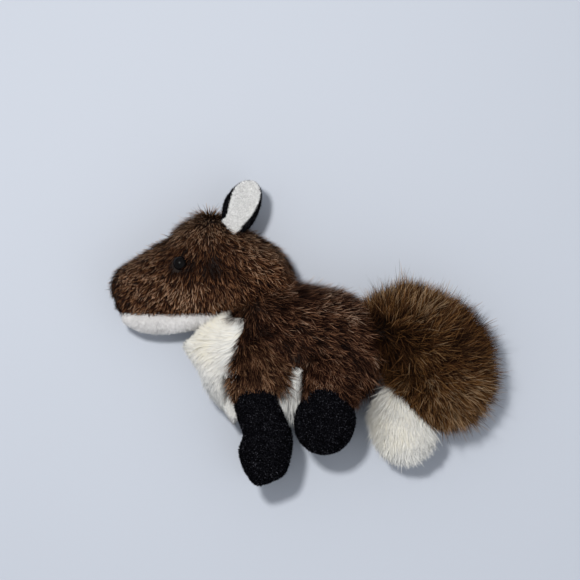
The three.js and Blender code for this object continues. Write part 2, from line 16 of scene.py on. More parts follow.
import bmesh
import bpy
import numpy as np
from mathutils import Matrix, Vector


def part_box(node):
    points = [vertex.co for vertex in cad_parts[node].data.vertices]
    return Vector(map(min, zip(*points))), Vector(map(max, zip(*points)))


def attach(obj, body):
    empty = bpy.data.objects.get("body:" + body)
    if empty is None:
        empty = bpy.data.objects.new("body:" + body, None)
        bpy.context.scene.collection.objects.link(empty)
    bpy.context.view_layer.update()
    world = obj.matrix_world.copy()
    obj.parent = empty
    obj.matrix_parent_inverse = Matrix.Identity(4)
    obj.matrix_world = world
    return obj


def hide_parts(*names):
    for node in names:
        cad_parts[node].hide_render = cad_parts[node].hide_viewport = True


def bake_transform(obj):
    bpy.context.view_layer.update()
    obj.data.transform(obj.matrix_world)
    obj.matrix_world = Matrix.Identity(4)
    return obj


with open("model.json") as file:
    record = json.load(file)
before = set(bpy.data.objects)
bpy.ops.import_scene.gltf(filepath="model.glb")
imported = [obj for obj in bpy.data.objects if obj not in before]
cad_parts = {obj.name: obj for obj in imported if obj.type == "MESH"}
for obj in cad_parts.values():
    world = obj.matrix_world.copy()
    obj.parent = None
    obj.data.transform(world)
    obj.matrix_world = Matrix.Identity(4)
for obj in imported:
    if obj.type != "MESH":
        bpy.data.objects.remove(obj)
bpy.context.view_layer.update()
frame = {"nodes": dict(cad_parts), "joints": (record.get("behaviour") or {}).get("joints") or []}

LOG = logging.getLogger("fox")
MM = 0.001
UV_NAME = "OFBake"
TABLE_GAP = 0.25  # the lowest strand above the table
Colour = tuple[float, float, float]
Profile = tuple[tuple[float, float, float, float], ...]
Mask = Callable[[np.ndarray], np.ndarray]


def joint_place(name: str) -> np.ndarray:
    """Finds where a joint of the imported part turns.

    Args:
        name: The joint's name in the record.

    Returns:
        The joint's place in millimetres.
    """
    joint = next(j for j in frame["joints"] if j["name"] == name)
    return np.array(joint["pos_m"]) / MM


def node_box(name: str) -> tuple[np.ndarray, np.ndarray]:
    """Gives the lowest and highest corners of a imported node, in millimetres."""
    low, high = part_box(name)
    return np.array(low) / MM, np.array(high) / MM


def plan_way(heading: float) -> np.ndarray:
    """Gives the unit direction of a heading in the plan, in degrees from +X."""
    angle = math.radians(heading)
    return np.array([math.cos(angle), math.sin(angle), 0.0])


# Node trees


def operator(name: str, swapped: bool = False) -> Callable[[Wire, Value], Wire]:
    """Makes one of a wire's operators.

    Args:
        name: Blender's name of the Math node's operation.
        swapped: Takes the wire as the second operand.

    Returns:
        The method.
    """
    def apply(wire: Wire, other: Value = 0.0) -> Wire:
        """Adds the Math node."""
        operands = (other, wire) if swapped else (wire, other)
        return wire.recipe.node("ShaderNodeMath", {"operation": name}, dict(enumerate(operands)))["Value"]

    return apply


class Wire:
    """One output socket of a node tree, with arithmetic that adds Math nodes."""

    def __init__(self, recipe: Recipe, socket: bpy.types.NodeSocket) -> None:
        """Keeps the socket and the recipe that it belongs to."""
        self.recipe = recipe
        self.socket = socket

    __add__, __radd__ = operator("ADD"), operator("ADD", True)
    __sub__, __rsub__ = operator("SUBTRACT"), operator("SUBTRACT", True)
    __mul__, __rmul__ = operator("MULTIPLY"), operator("MULTIPLY", True)
    __truediv__, __pow__ = operator("DIVIDE"), operator("POWER")
    least, most = operator("MINIMUM"), operator("MAXIMUM")
    sine, cosine = operator("SINE"), operator("COSINE")

    def share(self) -> Wire:
        """Keeps the value between 0 and 1."""
        return self.most(0.0).least(1.0)


Value = Union[Wire, float, int]


class Made:
    """A node that was added, whose outputs are read by name."""

    def __init__(self, recipe: Recipe, node: bpy.types.Node) -> None:
        """Keeps the node and its recipe."""
        self.recipe = recipe
        self.node = node

    def __getitem__(self, name: str) -> Wire:
        """Gives the output of that name."""
        return Wire(self.recipe, Recipe.socket(self.node.outputs, name))


class Recipe:
    """A node tree that is being written."""

    def __init__(self, tree: bpy.types.NodeTree) -> None:
        """Starts with an empty tree."""
        self.tree = tree
        self.tree.nodes.clear()

    @staticmethod
    def socket(sockets: bpy.types.bpy_prop_collection, key: Union[str, int]) -> bpy.types.NodeSocket:
        """Finds a socket.

        Args:
            sockets: A node's inputs or outputs.
            key: The socket's place, or the name of one that is in use.

        Returns:
            The socket.
        """
        if isinstance(key, int):
            return sockets[key]
        return next(s for s in sockets if s.name == key and s.enabled)

    def node(
        self,
        kind: str,
        settings: Optional[dict[str, object]] = None,
        inputs: Optional[dict[Union[str, int], object]] = None,
    ) -> Made:
        """Adds a node of any type.

        Args:
            kind: Blender's type name.
            settings: Properties, which are set first. stops are a colour ramp's (place, colour) pairs.
            inputs: A value or a wire for each socket.

        Returns:
            The node that was made.
        """
        node = self.tree.nodes.new(kind)
        for name, value in (settings or {}).items():
            if name == "stops":
                self.set_stops(node.color_ramp, value)
            else:
                setattr(node, name, value)
        for key, value in (inputs or {}).items():
            socket = self.socket(node.inputs, key)
            if isinstance(value, Wire):
                self.tree.links.new(value.socket, socket)
            else:
                socket.default_value = value
        return Made(self, node)

    @staticmethod
    def set_stops(ramp: bpy.types.ColorRamp, stops: Sequence[tuple[float, Colour]]) -> None:
        """Sets a colour ramp's stops.

        Args:
            ramp: The ramp.
            stops: The place and the colour of each stop.
        """
        while len(ramp.elements) < len(stops):
            ramp.elements.new(1.0)
        for element, (place, colour) in zip(ramp.elements, stops):
            element.position = place
            element.color = (*colour, 1.0)

    def ramp(self, factor: Wire, stops: Sequence[tuple[float, Colour]]) -> Wire:
        """Turns a value into a colour by a ramp."""
        return self.node("ShaderNodeValToRGB", {"stops": stops}, {"Fac": factor})["Color"]

    def mix(self, factor: Value, first: object, second: object) -> Wire:
        """Mixes two colours."""
        settings = {"data_type": "RGBA"}
        return self.node("ShaderNodeMix", settings, {"Factor": factor, "A": first, "B": second})["Result"]

    def vector(self, x: Value, y: Value, z: Value) -> Wire:
        """Joins three values into a vector."""
        return self.node("ShaderNodeCombineXYZ", None, {"X": x, "Y": y, "Z": z})["Vector"]

    def axes(self, vector: Wire) -> Made:
        """Splits a vector into X, Y and Z."""
        return self.node("ShaderNodeSeparateXYZ", None, {"Vector": vector})

    def position(self) -> Wire:
        """Gives the place of each point of a geometry."""
        return self.node("GeometryNodeInputPosition")["Position"]

    def changed(self, kind: str, geometry: Wire, **inputs: object) -> Wire:
        """Passes a geometry through a node of Geometry Nodes."""
        return self.node("GeometryNode" + kind, None, {"Geometry": geometry, **inputs})["Geometry"]

    def noise(self, place: Wire, scale: Value, detail: float = 2.0) -> Made:
        """Adds a noise at a number of features to the metre."""
        return self.node("ShaderNodeTexNoise", None, {"Vector": place, "Scale": scale, "Detail": detail})


class Paint(Recipe):
    """A material that is being written."""

    def __init__(self, name: str) -> None:
        """Starts a new material.

        Args:
            name: Its name.
        """
        self.material = bpy.data.materials.new(name)
        self.material.use_nodes = True
        super().__init__(self.material.node_tree)

    def place(self) -> Wire:
        """Gives the place on the piece, in metres."""
        return self.node("ShaderNodeTexCoord")["Object"]

    def bump(self, height: Wire, strength: float, distance: float) -> Wire:
        """Turns a height into a normal.

        Args:
            height: The height, from 0 to 1.
            strength: How much of it shows.
            distance: The height of 1, in millimetres.

        Returns:
            The normal.
        """
        inputs = {"Height": height, "Strength": strength, "Distance": distance * MM}
        return self.node("ShaderNodeBump", None, inputs)["Normal"]

    def surface(self, inputs: dict[Union[str, int], object]) -> bpy.types.Material:
        """Ends the material in one Principled shader.

        Args:
            inputs: The shader's sockets.

        Returns:
            The finished material.
        """
        shader = self.node("ShaderNodeBsdfPrincipled", None, inputs)["BSDF"]
        self.node("ShaderNodeOutputMaterial", None, {"Surface": shader})
        return self.material


# Finishes


@dataclass(frozen=True)
class PileFinish:
    """Colours of a pile. Each stop has its tone and the colours at a strand's root and tip."""

    name: str
    stops: tuple[tuple[float, Colour, Colour], ...]
    tip_start: float = 0.25
    rough_root: float = 0.85
    rough_tip: float = 0.6
    shine: float = 0.04

    def make(self) -> bpy.types.Material:
        """Writes the material, which reads a strand's tone and length from its own map.

        Returns:
            The material.
        """
        paint = Paint(self.name)
        spot = paint.node("ShaderNodeUVMap", {"uv_map": UV_NAME})["UV"]
        axes = paint.axes(spot)
        tone, along = axes["X"], axes["Y"]
        root = paint.ramp(tone, [(place, colour) for place, colour, _ in self.stops])
        tip = paint.ramp(tone, [(place, colour) for place, _, colour in self.stops])
        rise = ((along - self.tip_start) / (1.0 - self.tip_start)).share()
        return paint.surface({
            "Base Color": paint.mix(rise, root, tip),
            "Roughness": self.rough_root + along * (self.rough_tip - self.rough_root),
            "Specular IOR Level": self.shine,
        })


@dataclass(frozen=True)
class ClothFinish:
    """A knitted or woven ground: two shades of its yarn, and the yarn's pitch."""

    name: str
    dark: Colour
    light: Colour
    pitch: float
    mottle: float = 6.0
    relief: float = 0.12
    roughness: float = 0.9
    sheen: float = 0.15
    yarn_share: float = 0.45
    depth: float = 0.6

    def make(self) -> bpy.types.Material:
        """Writes the material, with the yarn across both ways and a slow mottle.

        Returns:
            The material.
        """
        paint = Paint(self.name)
        place = paint.place()
        axes = paint.axes(place)
        turn = 2.0 * math.pi / (self.pitch * MM)
        warp = (axes["X"] * turn).sine()
        weft = ((axes["Y"] + axes["Z"]) * turn).sine()
        yarn = (warp * weft * 0.5 + 0.5).share()
        slow = paint.noise(place, 1.0 / (self.mottle * MM), 3.0)["Fac"]
        shade = (yarn * self.yarn_share + slow * (1.0 - self.yarn_share)).share()
        return paint.surface({
            "Base Color": paint.mix(shade, (*self.dark, 1.0), (*self.light, 1.0)),
            "Roughness": self.roughness,
            "Sheen Weight": self.sheen,
            "Normal": paint.bump(yarn, self.depth, self.relief),
        })


@dataclass(frozen=True)
class NapFinish:
    """A short dense nap: a ground colour, paler specks, and fine relief."""

    name: str
    ground: Colour
    speck: Colour
    grain: float
    specks: float = 0.5
    relief: float = 0.25
    roughness: float = 0.95
    sheen: float = 0.3
    shine: float = 0.1
    depth: float = 0.8
    contrast: float = 5.0
    slow_grains: float = 14.0
    slow_range: tuple[float, float] = (0.4, 0.8)
    smoother: float = 0.15

    def make(self) -> bpy.types.Material:
        """Writes the material, with specks and relief of the same grain.

        Returns:
            The material.
        """
        paint = Paint(self.name)
        place = paint.place()
        fine = paint.noise(place, 1.0 / (self.grain * MM), 3.0)["Fac"]
        slow = paint.noise(place, 1.0 / (self.slow_grains * self.grain * MM), 2.0)["Fac"]
        least, more = self.slow_range
        speck = ((fine - (1.0 - self.specks)) * self.contrast).share() * (least + more * slow)
        return paint.surface({
            "Base Color": paint.mix(speck.share(), (*self.ground, 1.0), (*self.speck, 1.0)),
            "Roughness": (self.roughness - self.smoother * speck).share(),
            "Sheen Weight": self.sheen,
            "Sheen Roughness": 0.5,
            "Specular IOR Level": self.shine,
            "Normal": paint.bump(fine, self.depth, self.relief),
        })


@dataclass(frozen=True)
class GlossFinish:
    """Moulded plastic: its colour, its roughness and the scratches that rub it dull."""

    name: str
    colour: Colour
    worn: Colour
    roughness: float
    scratch: float
    shine: float
    streaks: float = 900.0
    stretch: tuple[float, float, float] = (1.0, 4.0, 1.0)
    rub_start: float = 0.45

    def make(self) -> bpy.types.Material:
        """Writes the material, with a fine stretched noise for the rubbing.

        Returns:
            The material.
        """
        paint = Paint(self.name)
        sizes = {"Vector": paint.place(), "Scale": self.stretch}
        streak = paint.node("ShaderNodeMapping", None, sizes)["Vector"]
        rubbed = (paint.noise(streak, self.streaks, 4.0)["Fac"] - self.rub_start).share()
        return paint.surface({
            "Base Color": paint.mix(rubbed, (*self.colour, 1.0), (*self.worn, 1.0)),
            "Roughness": (self.roughness + self.scratch * rubbed).share(),
            "Specular IOR Level": self.shine,
        })


class Pelt(Enum):
    """The piles of the fox."""

    HEAD = PileFinish("head_pile", (
        (0.0, (0.0012, 0.0006, 0.0004), (0.0024, 0.0011, 0.0008)),
        (0.52, (0.0024, 0.001, 0.0006), (0.009, 0.003, 0.0016)),
        (0.68, (0.012, 0.0046, 0.0022), (0.085, 0.029, 0.0115)),
        (0.84, (0.035, 0.0155, 0.0082), (0.42, 0.19, 0.086)),
        (1.0, (0.06, 0.03, 0.018), (0.9, 0.585, 0.375)),
    ), tip_start=0.45)
    BODY = PileFinish("body_pile", (
        (0.0, (0.0012, 0.0006, 0.0005), (0.0024, 0.0011, 0.0009)),
        (0.52, (0.0024, 0.001, 0.0007), (0.0085, 0.003, 0.0019)),
        (0.7, (0.012, 0.0046, 0.0026), (0.076, 0.0275, 0.0128)),
        (0.86, (0.035, 0.016, 0.009), (0.37, 0.178, 0.095)),
        (1.0, (0.06, 0.03, 0.018), (0.9, 0.63, 0.45)),
    ), tip_start=0.45)
    LEG = PileFinish("leg_pile", (
        (0.0, (0.0012, 0.0006, 0.0004), (0.0024, 0.0011, 0.0008)),
        (0.52, (0.0024, 0.001, 0.0006), (0.009, 0.003, 0.0016)),
        (0.7, (0.012, 0.005, 0.0026), (0.075, 0.029, 0.0136)),
        (0.86, (0.036, 0.017, 0.008), (0.35, 0.172, 0.086)),
        (1.0, (0.062, 0.031, 0.014), (0.82, 0.53, 0.33)),
    ), tip_start=0.45)
    TAIL = PileFinish("tail_pile", (
        (0.0, (0.002, 0.001, 0.0008), (0.007, 0.0035, 0.002)),
        (0.45, (0.004, 0.0018, 0.0008), (0.016, 0.0066, 0.0026)),
        (0.66, (0.018, 0.007, 0.003), (0.12, 0.05, 0.019)),
        (0.84, (0.048, 0.022, 0.007), (0.3, 0.145, 0.048)),
        (1.0, (0.07, 0.042, 0.022), (0.58, 0.4, 0.24)),
    ))
    WHITE = PileFinish("white_pile", (
        (0.0, (0.48, 0.485, 0.48), (0.5, 0.505, 0.505)),
        (0.25, (0.68, 0.68, 0.66), (0.7, 0.7, 0.685)),
        (0.55, (0.8, 0.785, 0.735), (0.84, 0.825, 0.78)),
        (1.0, (0.84, 0.79, 0.65), (0.87, 0.83, 0.71)),
    ), tip_start=0.1, rough_root=0.8, rough_tip=0.6, shine=0.2)
    CHIN = PileFinish("chin_pile", (
        (0.0, (0.6, 0.59, 0.585), (0.66, 0.65, 0.65)),
        (1.0, (0.8, 0.785, 0.77), (0.9, 0.885, 0.88)),
    ), tip_start=0.1, rough_root=0.9, rough_tip=0.75, shine=0.15)
    BOOT = PileFinish("boot_nap", (
        (0.0, (0.001, 0.001, 0.0015), (0.0015, 0.0015, 0.002)),
        (0.55, (0.0015, 0.0015, 0.002), (0.003, 0.003, 0.0045)),
        (0.8, (0.0015, 0.0015, 0.002), (0.016, 0.016, 0.022)),
        (1.0, (0.003, 0.003, 0.004), (0.18, 0.18, 0.21)),
    ), tip_start=0.2, rough_root=0.95, rough_tip=0.9, shine=0.0)
    EAR = PileFinish("ear_nap", (
        (0.0, (0.46, 0.46, 0.46), (0.54, 0.54, 0.54)),
        (1.0, (0.74, 0.74, 0.735), (0.92, 0.915, 0.915)),
    ), tip_start=0.1, rough_root=0.95, rough_tip=0.85, shine=0.15)


class Ground(Enum):
    """The cloths and the hard parts under and among the pile."""

    BROWN = ClothFinish(
        "brown_backing", (0.008, 0.004, 0.0025), (0.022, 0.011, 0.0065), pitch=0.5, sheen=0.0,
    )
    WHITE = ClothFinish("white_backing", (0.75, 0.73, 0.67), (0.88, 0.86, 0.8), pitch=0.5)
    POCKET = ClothFinish(
        "pocket_weave", (0.3, 0.24, 0.17), (0.5, 0.41, 0.3), pitch=0.35, mottle=9.0, relief=0.08,
    )
    THREAD = ClothFinish(
        "sewing_thread", (0.5, 0.45, 0.36), (0.75, 0.7, 0.6), pitch=0.12, mottle=3.0, relief=0.03,
    )
    BLACK = NapFinish(
        "black_nap", (0.0006, 0.0006, 0.0009), (0.03, 0.03, 0.036), grain=0.4, sheen=0.0, shine=0.0,
    )
    PALE = NapFinish("pale_nap", (0.7, 0.7, 0.69), (0.9, 0.9, 0.89), grain=0.5, relief=0.18)
    CHIN = NapFinish("chin_nap", (0.8, 0.79, 0.77), (0.94, 0.93, 0.91), grain=0.5, relief=0.2)
    FIBRE = NapFinish("fibre_fill", (0.72, 0.71, 0.67), (0.93, 0.92, 0.88), grain=0.9, relief=0.6)
    EYE = GlossFinish(
        "eye_bead", (0.003, 0.0025, 0.0025), (0.006, 0.005, 0.004), roughness=0.16, scratch=0.06, shine=0.09,
    )
    NYLON = GlossFinish(
        "washer_nylon", (0.016, 0.016, 0.017), (0.05, 0.05, 0.052), roughness=0.42, scratch=0.3, shine=0.5,
    )


MATERIALS: dict[str, bpy.types.Material] = {}


def finish_of(choice: Union[Pelt, Ground]) -> bpy.types.Material:
    """Makes a finish's material once.

    Args:
        choice: The pile or ground.

    Returns:
        Its material.
    """
    if choice.value.name not in MATERIALS:
        MATERIALS[choice.value.name] = choice.value.make()
    return MATERIALS[choice.value.name]


# Pile


@dataclass(frozen=True)
class Pile:
    """How one fabric's pile stands. Angles are degrees, and a strand's angles are from the skin's normal."""

    strands: int
    width: float
    root_angle: float
    tip_angle: float
    turn: float = 22.0
    lean: float = 11.0
    lock: float = 4.5
    lock_turn: float = 38.0
    lock_length: float = 0.36
    tone_spread: float = 0.6
    tone_patch: float = 0.28
    segments: int = 2
    stray: float = 1.8
    tone_width: float = 2.0


BODY_PILE = Pile(48000, 0.21, 48.0, 79.0)
LEG_PILE = replace(BODY_PILE, strands=15000, root_angle=46.0, tip_angle=78.0)
HEAD_PILE = replace(BODY_PILE, width=0.2, turn=24.0, lock=4.0, lock_turn=32.0, tone_patch=0.2)
TAIL_PILE = Pile(
    48500, 0.22, 34.0, 66.0, turn=34.0, lean=18.0, lock=5.0, lock_turn=66.0, lock_length=0.5,
    tone_spread=0.56, tone_patch=0.36, stray=3.2, tone_width=1.4,
)
CHEST_PILE = Pile(
    44000, 0.46, 57.0, 83.0, turn=9.0, lean=5.0, lock=7.0, lock_turn=18.0, lock_length=0.22,
    tone_spread=0.2, tone_patch=0.25, stray=1.2, tone_width=0.0,
)
TIP_PILE = Pile(
    36000, 0.4, 50.0, 79.0, turn=14.0, lean=7.0, lock=8.0, lock_turn=30.0,
    tone_spread=0.25, tone_patch=0.3, stray=1.6, tone_width=0.0,
)
EAR_NAP = Pile(
    9000, 0.14, 25.0, 50.0, turn=60.0, lean=15.0, lock=3.0, lock_turn=60.0, lock_length=0.3,
    tone_spread=0.45, tone_patch=0.2, segments=1,
)
LINING_NAP = replace(EAR_NAP, strands=7000, width=0.26, lock=2.0, tone_spread=0.6, tone_patch=0.4)
CHIN_NAP = replace(
    EAR_NAP, strands=24000, width=0.22, root_angle=45.0, tip_angle=72.0, turn=40.0, lean=12.0,
    lock_turn=50.0, tone_spread=0.5,
)
BOOT_NAP = replace(
    EAR_NAP, strands=15000, width=0.3, root_angle=30.0, tip_angle=55.0, turn=180.0, lean=20.0,
    tone_spread=0.5, tone_patch=0.15,
)


@dataclass(frozen=True)
class Stroke:
    """One stroke of the brush: where it passes in the plan and where it heads, in degrees from +X."""

    x: float
    y: float
    heading: float


@dataclass(frozen=True)
class Patch:
    """A soft round patch of the plan, and how much it adds to a value there."""

    x: float
    y: float
    radius: float
    amount: float

    def over(self, points: np.ndarray) -> np.ndarray:
        """Gives what the patch adds at each point."""
        apart = np.hypot(points[:, 0] - self.x, points[:, 1] - self.y) / self.radius
        return self.amount * np.exp(-(apart ** 2))


@dataclass(frozen=True)
class Trim:
    """A pile that is cut shorter towards a seam: its least share, and how far off a whole length is added."""

    least: float
    reach: float

    def share(self, distance: np.ndarray, more: Union[np.ndarray, float] = 0.0) -> np.ndarray:
        """Gives the share of the length at each distance from the seam, and adds what is more."""
        return np.clip(self.least + distance / self.reach + more, self.least, 1.0)


@dataclass(frozen=True)
class Coat:
    """How a pile is brushed, cut and coloured over its skin."""

    length: float
    tone: float
    strokes: tuple[Stroke, ...] = ()
    longer: tuple[Patch, ...] = ()
    lighter: tuple[Patch, ...] = ()
    thinner: tuple[Patch, ...] = ()
    trim: Mask = lambda points: np.ones(len(points))
    tilt: float = -0.12
    # rim: how much lighter the pile's tone is made where the skin faces +Y, towards the back and crown;
    # painted light on those edges.
    rim: float = 0.0
    brush: float = 1.5
    shortest: float = 0.3
    table_start: float = 1.0
    table_rise: float = 6.0
    table_cover: float = 0.25

    def comb(self, points: np.ndarray, normals: np.ndarray) -> np.ndarray:
        """Works out which way the pile lies.

        Args:
            points: Places on the skin.
            normals: The skin's normals there.

        Returns:
            A unit direction in the skin at each point.
        """
        way = np.zeros((len(points), 2))
        for stroke in self.strokes:
            apart = np.hypot(points[:, 0] - stroke.x, points[:, 1] - stroke.y)
            way += (1.0 / (apart + self.brush) ** 3)[:, None] * plan_way(stroke.heading)[:2]
        way /= np.linalg.norm(way, axis=1, keepdims=True) + 1e-9
        full = np.column_stack([way, np.full(len(points), self.tilt)])
        flat = full - normals * np.sum(full * normals, axis=1, keepdims=True)
        return flat / (np.linalg.norm(flat, axis=1, keepdims=True) + 1e-9)

    def dress(self, mesh: bpy.types.Mesh) -> None:
        """Stores the pile's direction, length, cover and tone on a skin.

        Args:
            mesh: The skin.
        """
        points, normals = read_mesh(mesh)
        points = points / MM
        count = len(points)
        length = (self.length + sum(p.over(points) for p in self.longer)) * self.trim(points)
        # Painted light: the tone rises where the skin faces +Y, along the back and crown edges.
        rim = self.rim * np.clip(normals[:, 1], 0.0, 1.0) ** 3
        tone = self.tone + rim + sum(p.over(points) for p in self.lighter)
        cover = np.clip(1.0 + sum(p.over(points) for p in self.thinner), 0.0, 1.0)
        low = np.clip((points[:, 2] - self.table_start) / self.table_rise, self.table_cover, 1.0)
        values = {"length": np.maximum(length, self.shortest) * MM, "tone": tone, "cover": cover * low}
        for name, data in values.items():
            column = np.broadcast_to(data, (count,)).astype(np.float32)
            mesh.attributes.new(name, "FLOAT", "POINT").data.foreach_set("value", column)
        comb = self.comb(points, normals).astype(np.float32).ravel()
        mesh.attributes.new("comb", "FLOAT_VECTOR", "POINT").data.foreach_set("vector", comb)


class GroupTree:
    """A Geometry Nodes tree with named inputs, the first of them a mesh, and one result."""

    def __init__(self, name: str, kinds: dict[str, str]) -> None:
        """Starts the tree.

        Args:
            name: The tree's name.
            kinds: The kind of each input.
        """
        self.tree = bpy.data.node_groups.new(name, "GeometryNodeTree")
        self.recipe = Recipe(self.tree)
        face = self.tree.interface
        self.keys = {
            key: face.new_socket(key, in_out="INPUT", socket_type="NodeSocket" + kind).identifier
            for key, kind in kinds.items()
        }
        face.new_socket("Result", in_out="OUTPUT", socket_type="NodeSocketGeometry")
        self.inputs = self.recipe.node("NodeGroupInput")

    def end(self, result: Wire) -> None:
        """Gives the tree its result."""
        self.recipe.node("NodeGroupOutput", None, {"Result": result})

    def run(self, name: str, mesh: bpy.types.Mesh, values: dict[str, object]) -> bpy.types.Object:
        """Runs the tree on a mesh.

        Args:
            name: The new piece's name.
            mesh: The first input.
            values: The other inputs.

        Returns:
            The result as one plain mesh object.
        """
        base = place_object(name + "_base", mesh)
        modifier = base.modifiers.new("tree", "NODES")
        modifier.node_group = self.tree
        for key, value in values.items():
            modifier[self.keys[key]] = value
        return settle(base, name)


class PileTree(GroupTree):
    """The node tree that sows strands over a skin, combs them, and keeps them above the table."""

    NUMBERS = (
        "Density", "Width", "Root Angle", "Tip Angle", "Turn", "Lean", "Lock Scale", "Lock Turn",
        "Lock Length", "Tone Spread", "Tone Patch", "Tone Width", "Stray", "Table Gap",
    )
    STORED = ("comb", "length", "cover", "tone", "shade", "along", "side")
    LENGTHS, WIDTHS = (0.7, 1.2), (0.6, 1.4)
    STRAY_POWER, STRAY_LENGTH = 5, 0.12
    TAPER, TAPER_POWER = 0.88, 1.4
    MAP_SCALE, MAP_START, MAP_WIDTH = 0.94, 0.03, 0.02

    def __init__(self) -> None:
        """Writes the tree once."""
        kinds = {"Skin": "Geometry", **dict.fromkeys(self.NUMBERS, "Float")}
        super().__init__("combed_pile", {**kinds, "Segments": "Int", "Seed": "Int", "Material": "Material"})
        self.end(self.finished(self.planted()))

    def read(self, name: str, kind: str = "FLOAT") -> Wire:
        """Reads a stored attribute."""
        settings = {"data_type": kind}
        return self.recipe.node("GeometryNodeInputNamedAttribute", settings, {"Name": name})["Attribute"]

    def store(self, geometry: Wire, name: str, kind: str, domain: str, value: Wire) -> Wire:
        """Stores an attribute.

        Args:
            geometry: What it is stored on.
            name: Its name.
            kind: Its data type.
            domain: Where it lies.
            value: Its value.

        Returns:
            The geometry with the attribute.
        """
        settings = {"data_type": kind, "domain": domain}
        inputs = {"Geometry": geometry, "Name": name, "Value": value}
        return self.recipe.node("GeometryNodeStoreNamedAttribute", settings, inputs)["Geometry"]

    def chance(self, low: float, high: float, draw: int) -> Wire:
        """Draws a random number for each strand."""
        inputs = {"Min": low, "Max": high, "Seed": self.inputs["Seed"] + draw}
        return self.recipe.node("FunctionNodeRandomValue", {"data_type": "FLOAT"}, inputs)["Value"]

    def strand(self) -> Wire:
        """Makes one flat strand, as long and as wide as 1, that bends from its root angle to its tip angle.

        Returns:
            The strand.
        """
        recipe = self.recipe
        rows = self.inputs["Segments"] + 1
        sizes = {"Size X": 1.0, "Size Y": 1.0, "Vertices X": 2, "Vertices Y": rows}
        sheet = recipe.node("GeometryNodeMeshGrid", None, sizes)["Mesh"]
        axes = recipe.axes(recipe.position())
        along, side = axes["Y"] + 0.5, axes["X"]
        marked = self.store(sheet, "along", "FLOAT", "POINT", along)
        marked = self.store(marked, "side", "FLOAT", "POINT", side)
        late = along * 0.5
        first, last = self.inputs["Root Angle"], self.inputs["Tip Angle"]
        forward = along * (first.sine() * (1.0 - late) + last.sine() * late)
        rise = along * (first.cosine() * (1.0 - late) + last.cosine() * late)
        narrow = side * (1.0 - self.TAPER * along ** self.TAPER_POWER)
        return recipe.changed("SetPosition", marked, Position=recipe.vector(forward, narrow, rise))

    def planted(self) -> Wire:
        """Sows the skin, and turns, stretches and tints each strand.

        Returns:
            The strands as instances.
        """
        recipe, inputs = self.recipe, self.inputs
        sown = recipe.node("GeometryNodeDistributePointsOnFaces", {"distribute_method": "RANDOM"}, {
            "Mesh": inputs["Skin"],
            "Density": inputs["Density"] * self.read("cover"),
            "Seed": inputs["Seed"],
        })
        lock = recipe.axes(recipe.noise(recipe.position(), inputs["Lock Scale"], 1.0)["Color"])
        tone = self.read("tone") + self.chance(-1.0, 1.0, 1) * inputs["Tone Spread"]
        tone = (tone + (lock["Z"] - 0.5) * inputs["Tone Patch"]).share()
        points = self.store(sown["Points"], "shade", "FLOAT", "POINT", tone)
        stray = self.chance(0.0, 1.0, 6) ** self.STRAY_POWER * inputs["Stray"]
        turn = self.chance(-1.0, 1.0, 2) * inputs["Turn"] * (1.0 + stray)
        turn = turn + (lock["X"] - 0.5) * inputs["Lock Turn"]
        lean = self.chance(-1.0, 1.0, 3) * inputs["Lean"] * (1.0 + stray)
        aimed = recipe.node("FunctionNodeAxesToRotation", {"primary_axis": "Z", "secondary_axis": "X"}, {
            "Primary Axis": sown["Normal"],
            "Secondary Axis": self.read("comb", "FLOAT_VECTOR"),
        })["Rotation"]
        sway = recipe.node("FunctionNodeEulerToRotation", None, {"Euler": recipe.vector(0.0, lean, turn)})
        turned = {"Rotation": aimed, "Rotate By": sway["Rotation"]}
        rotation = recipe.node("FunctionNodeRotateRotation", {"rotation_space": "LOCAL"}, turned)["Rotation"]
        length = self.read("length") * self.chance(*self.LENGTHS, 4)
        length = length * (1.0 + (lock["Y"] - 0.5) * inputs["Lock Length"])
        length = length * (1.0 + self.STRAY_LENGTH * stray)
        width = inputs["Width"] * self.chance(*self.WIDTHS, 5)
        width = width * (1.0 + (tone - 0.5) * inputs["Tone Width"])
        return recipe.node("GeometryNodeInstanceOnPoints", None, {
            "Points": points,
            "Instance": self.strand(),
            "Rotation": rotation,
            "Scale": recipe.vector(length, width, length),
        })["Instances"]

    def finished(self, strands: Wire) -> Wire:
        """Realizes the strands, maps them by tone and length, and lifts them off the table.

        Args:
            strands: The instances.

        Returns:
            The pile.
        """
        recipe = self.recipe
        real = recipe.changed("RealizeInstances", strands)
        column = self.read("shade") * self.MAP_SCALE + self.MAP_START + self.read("side") * self.MAP_WIDTH
        spot = recipe.vector(column, self.read("along") * self.MAP_SCALE + self.MAP_START, 0.0)
        mapped = self.store(real, UV_NAME, "FLOAT2", "CORNER", spot)
        axes = recipe.axes(recipe.position())
        above = recipe.vector(axes["X"], axes["Y"], axes["Z"].most(self.inputs["Table Gap"]))
        smooth = recipe.changed("SetShadeSmooth", recipe.changed("SetPosition", mapped, Position=above))
        return recipe.changed("SetMaterial", smooth, Material=self.inputs["Material"])

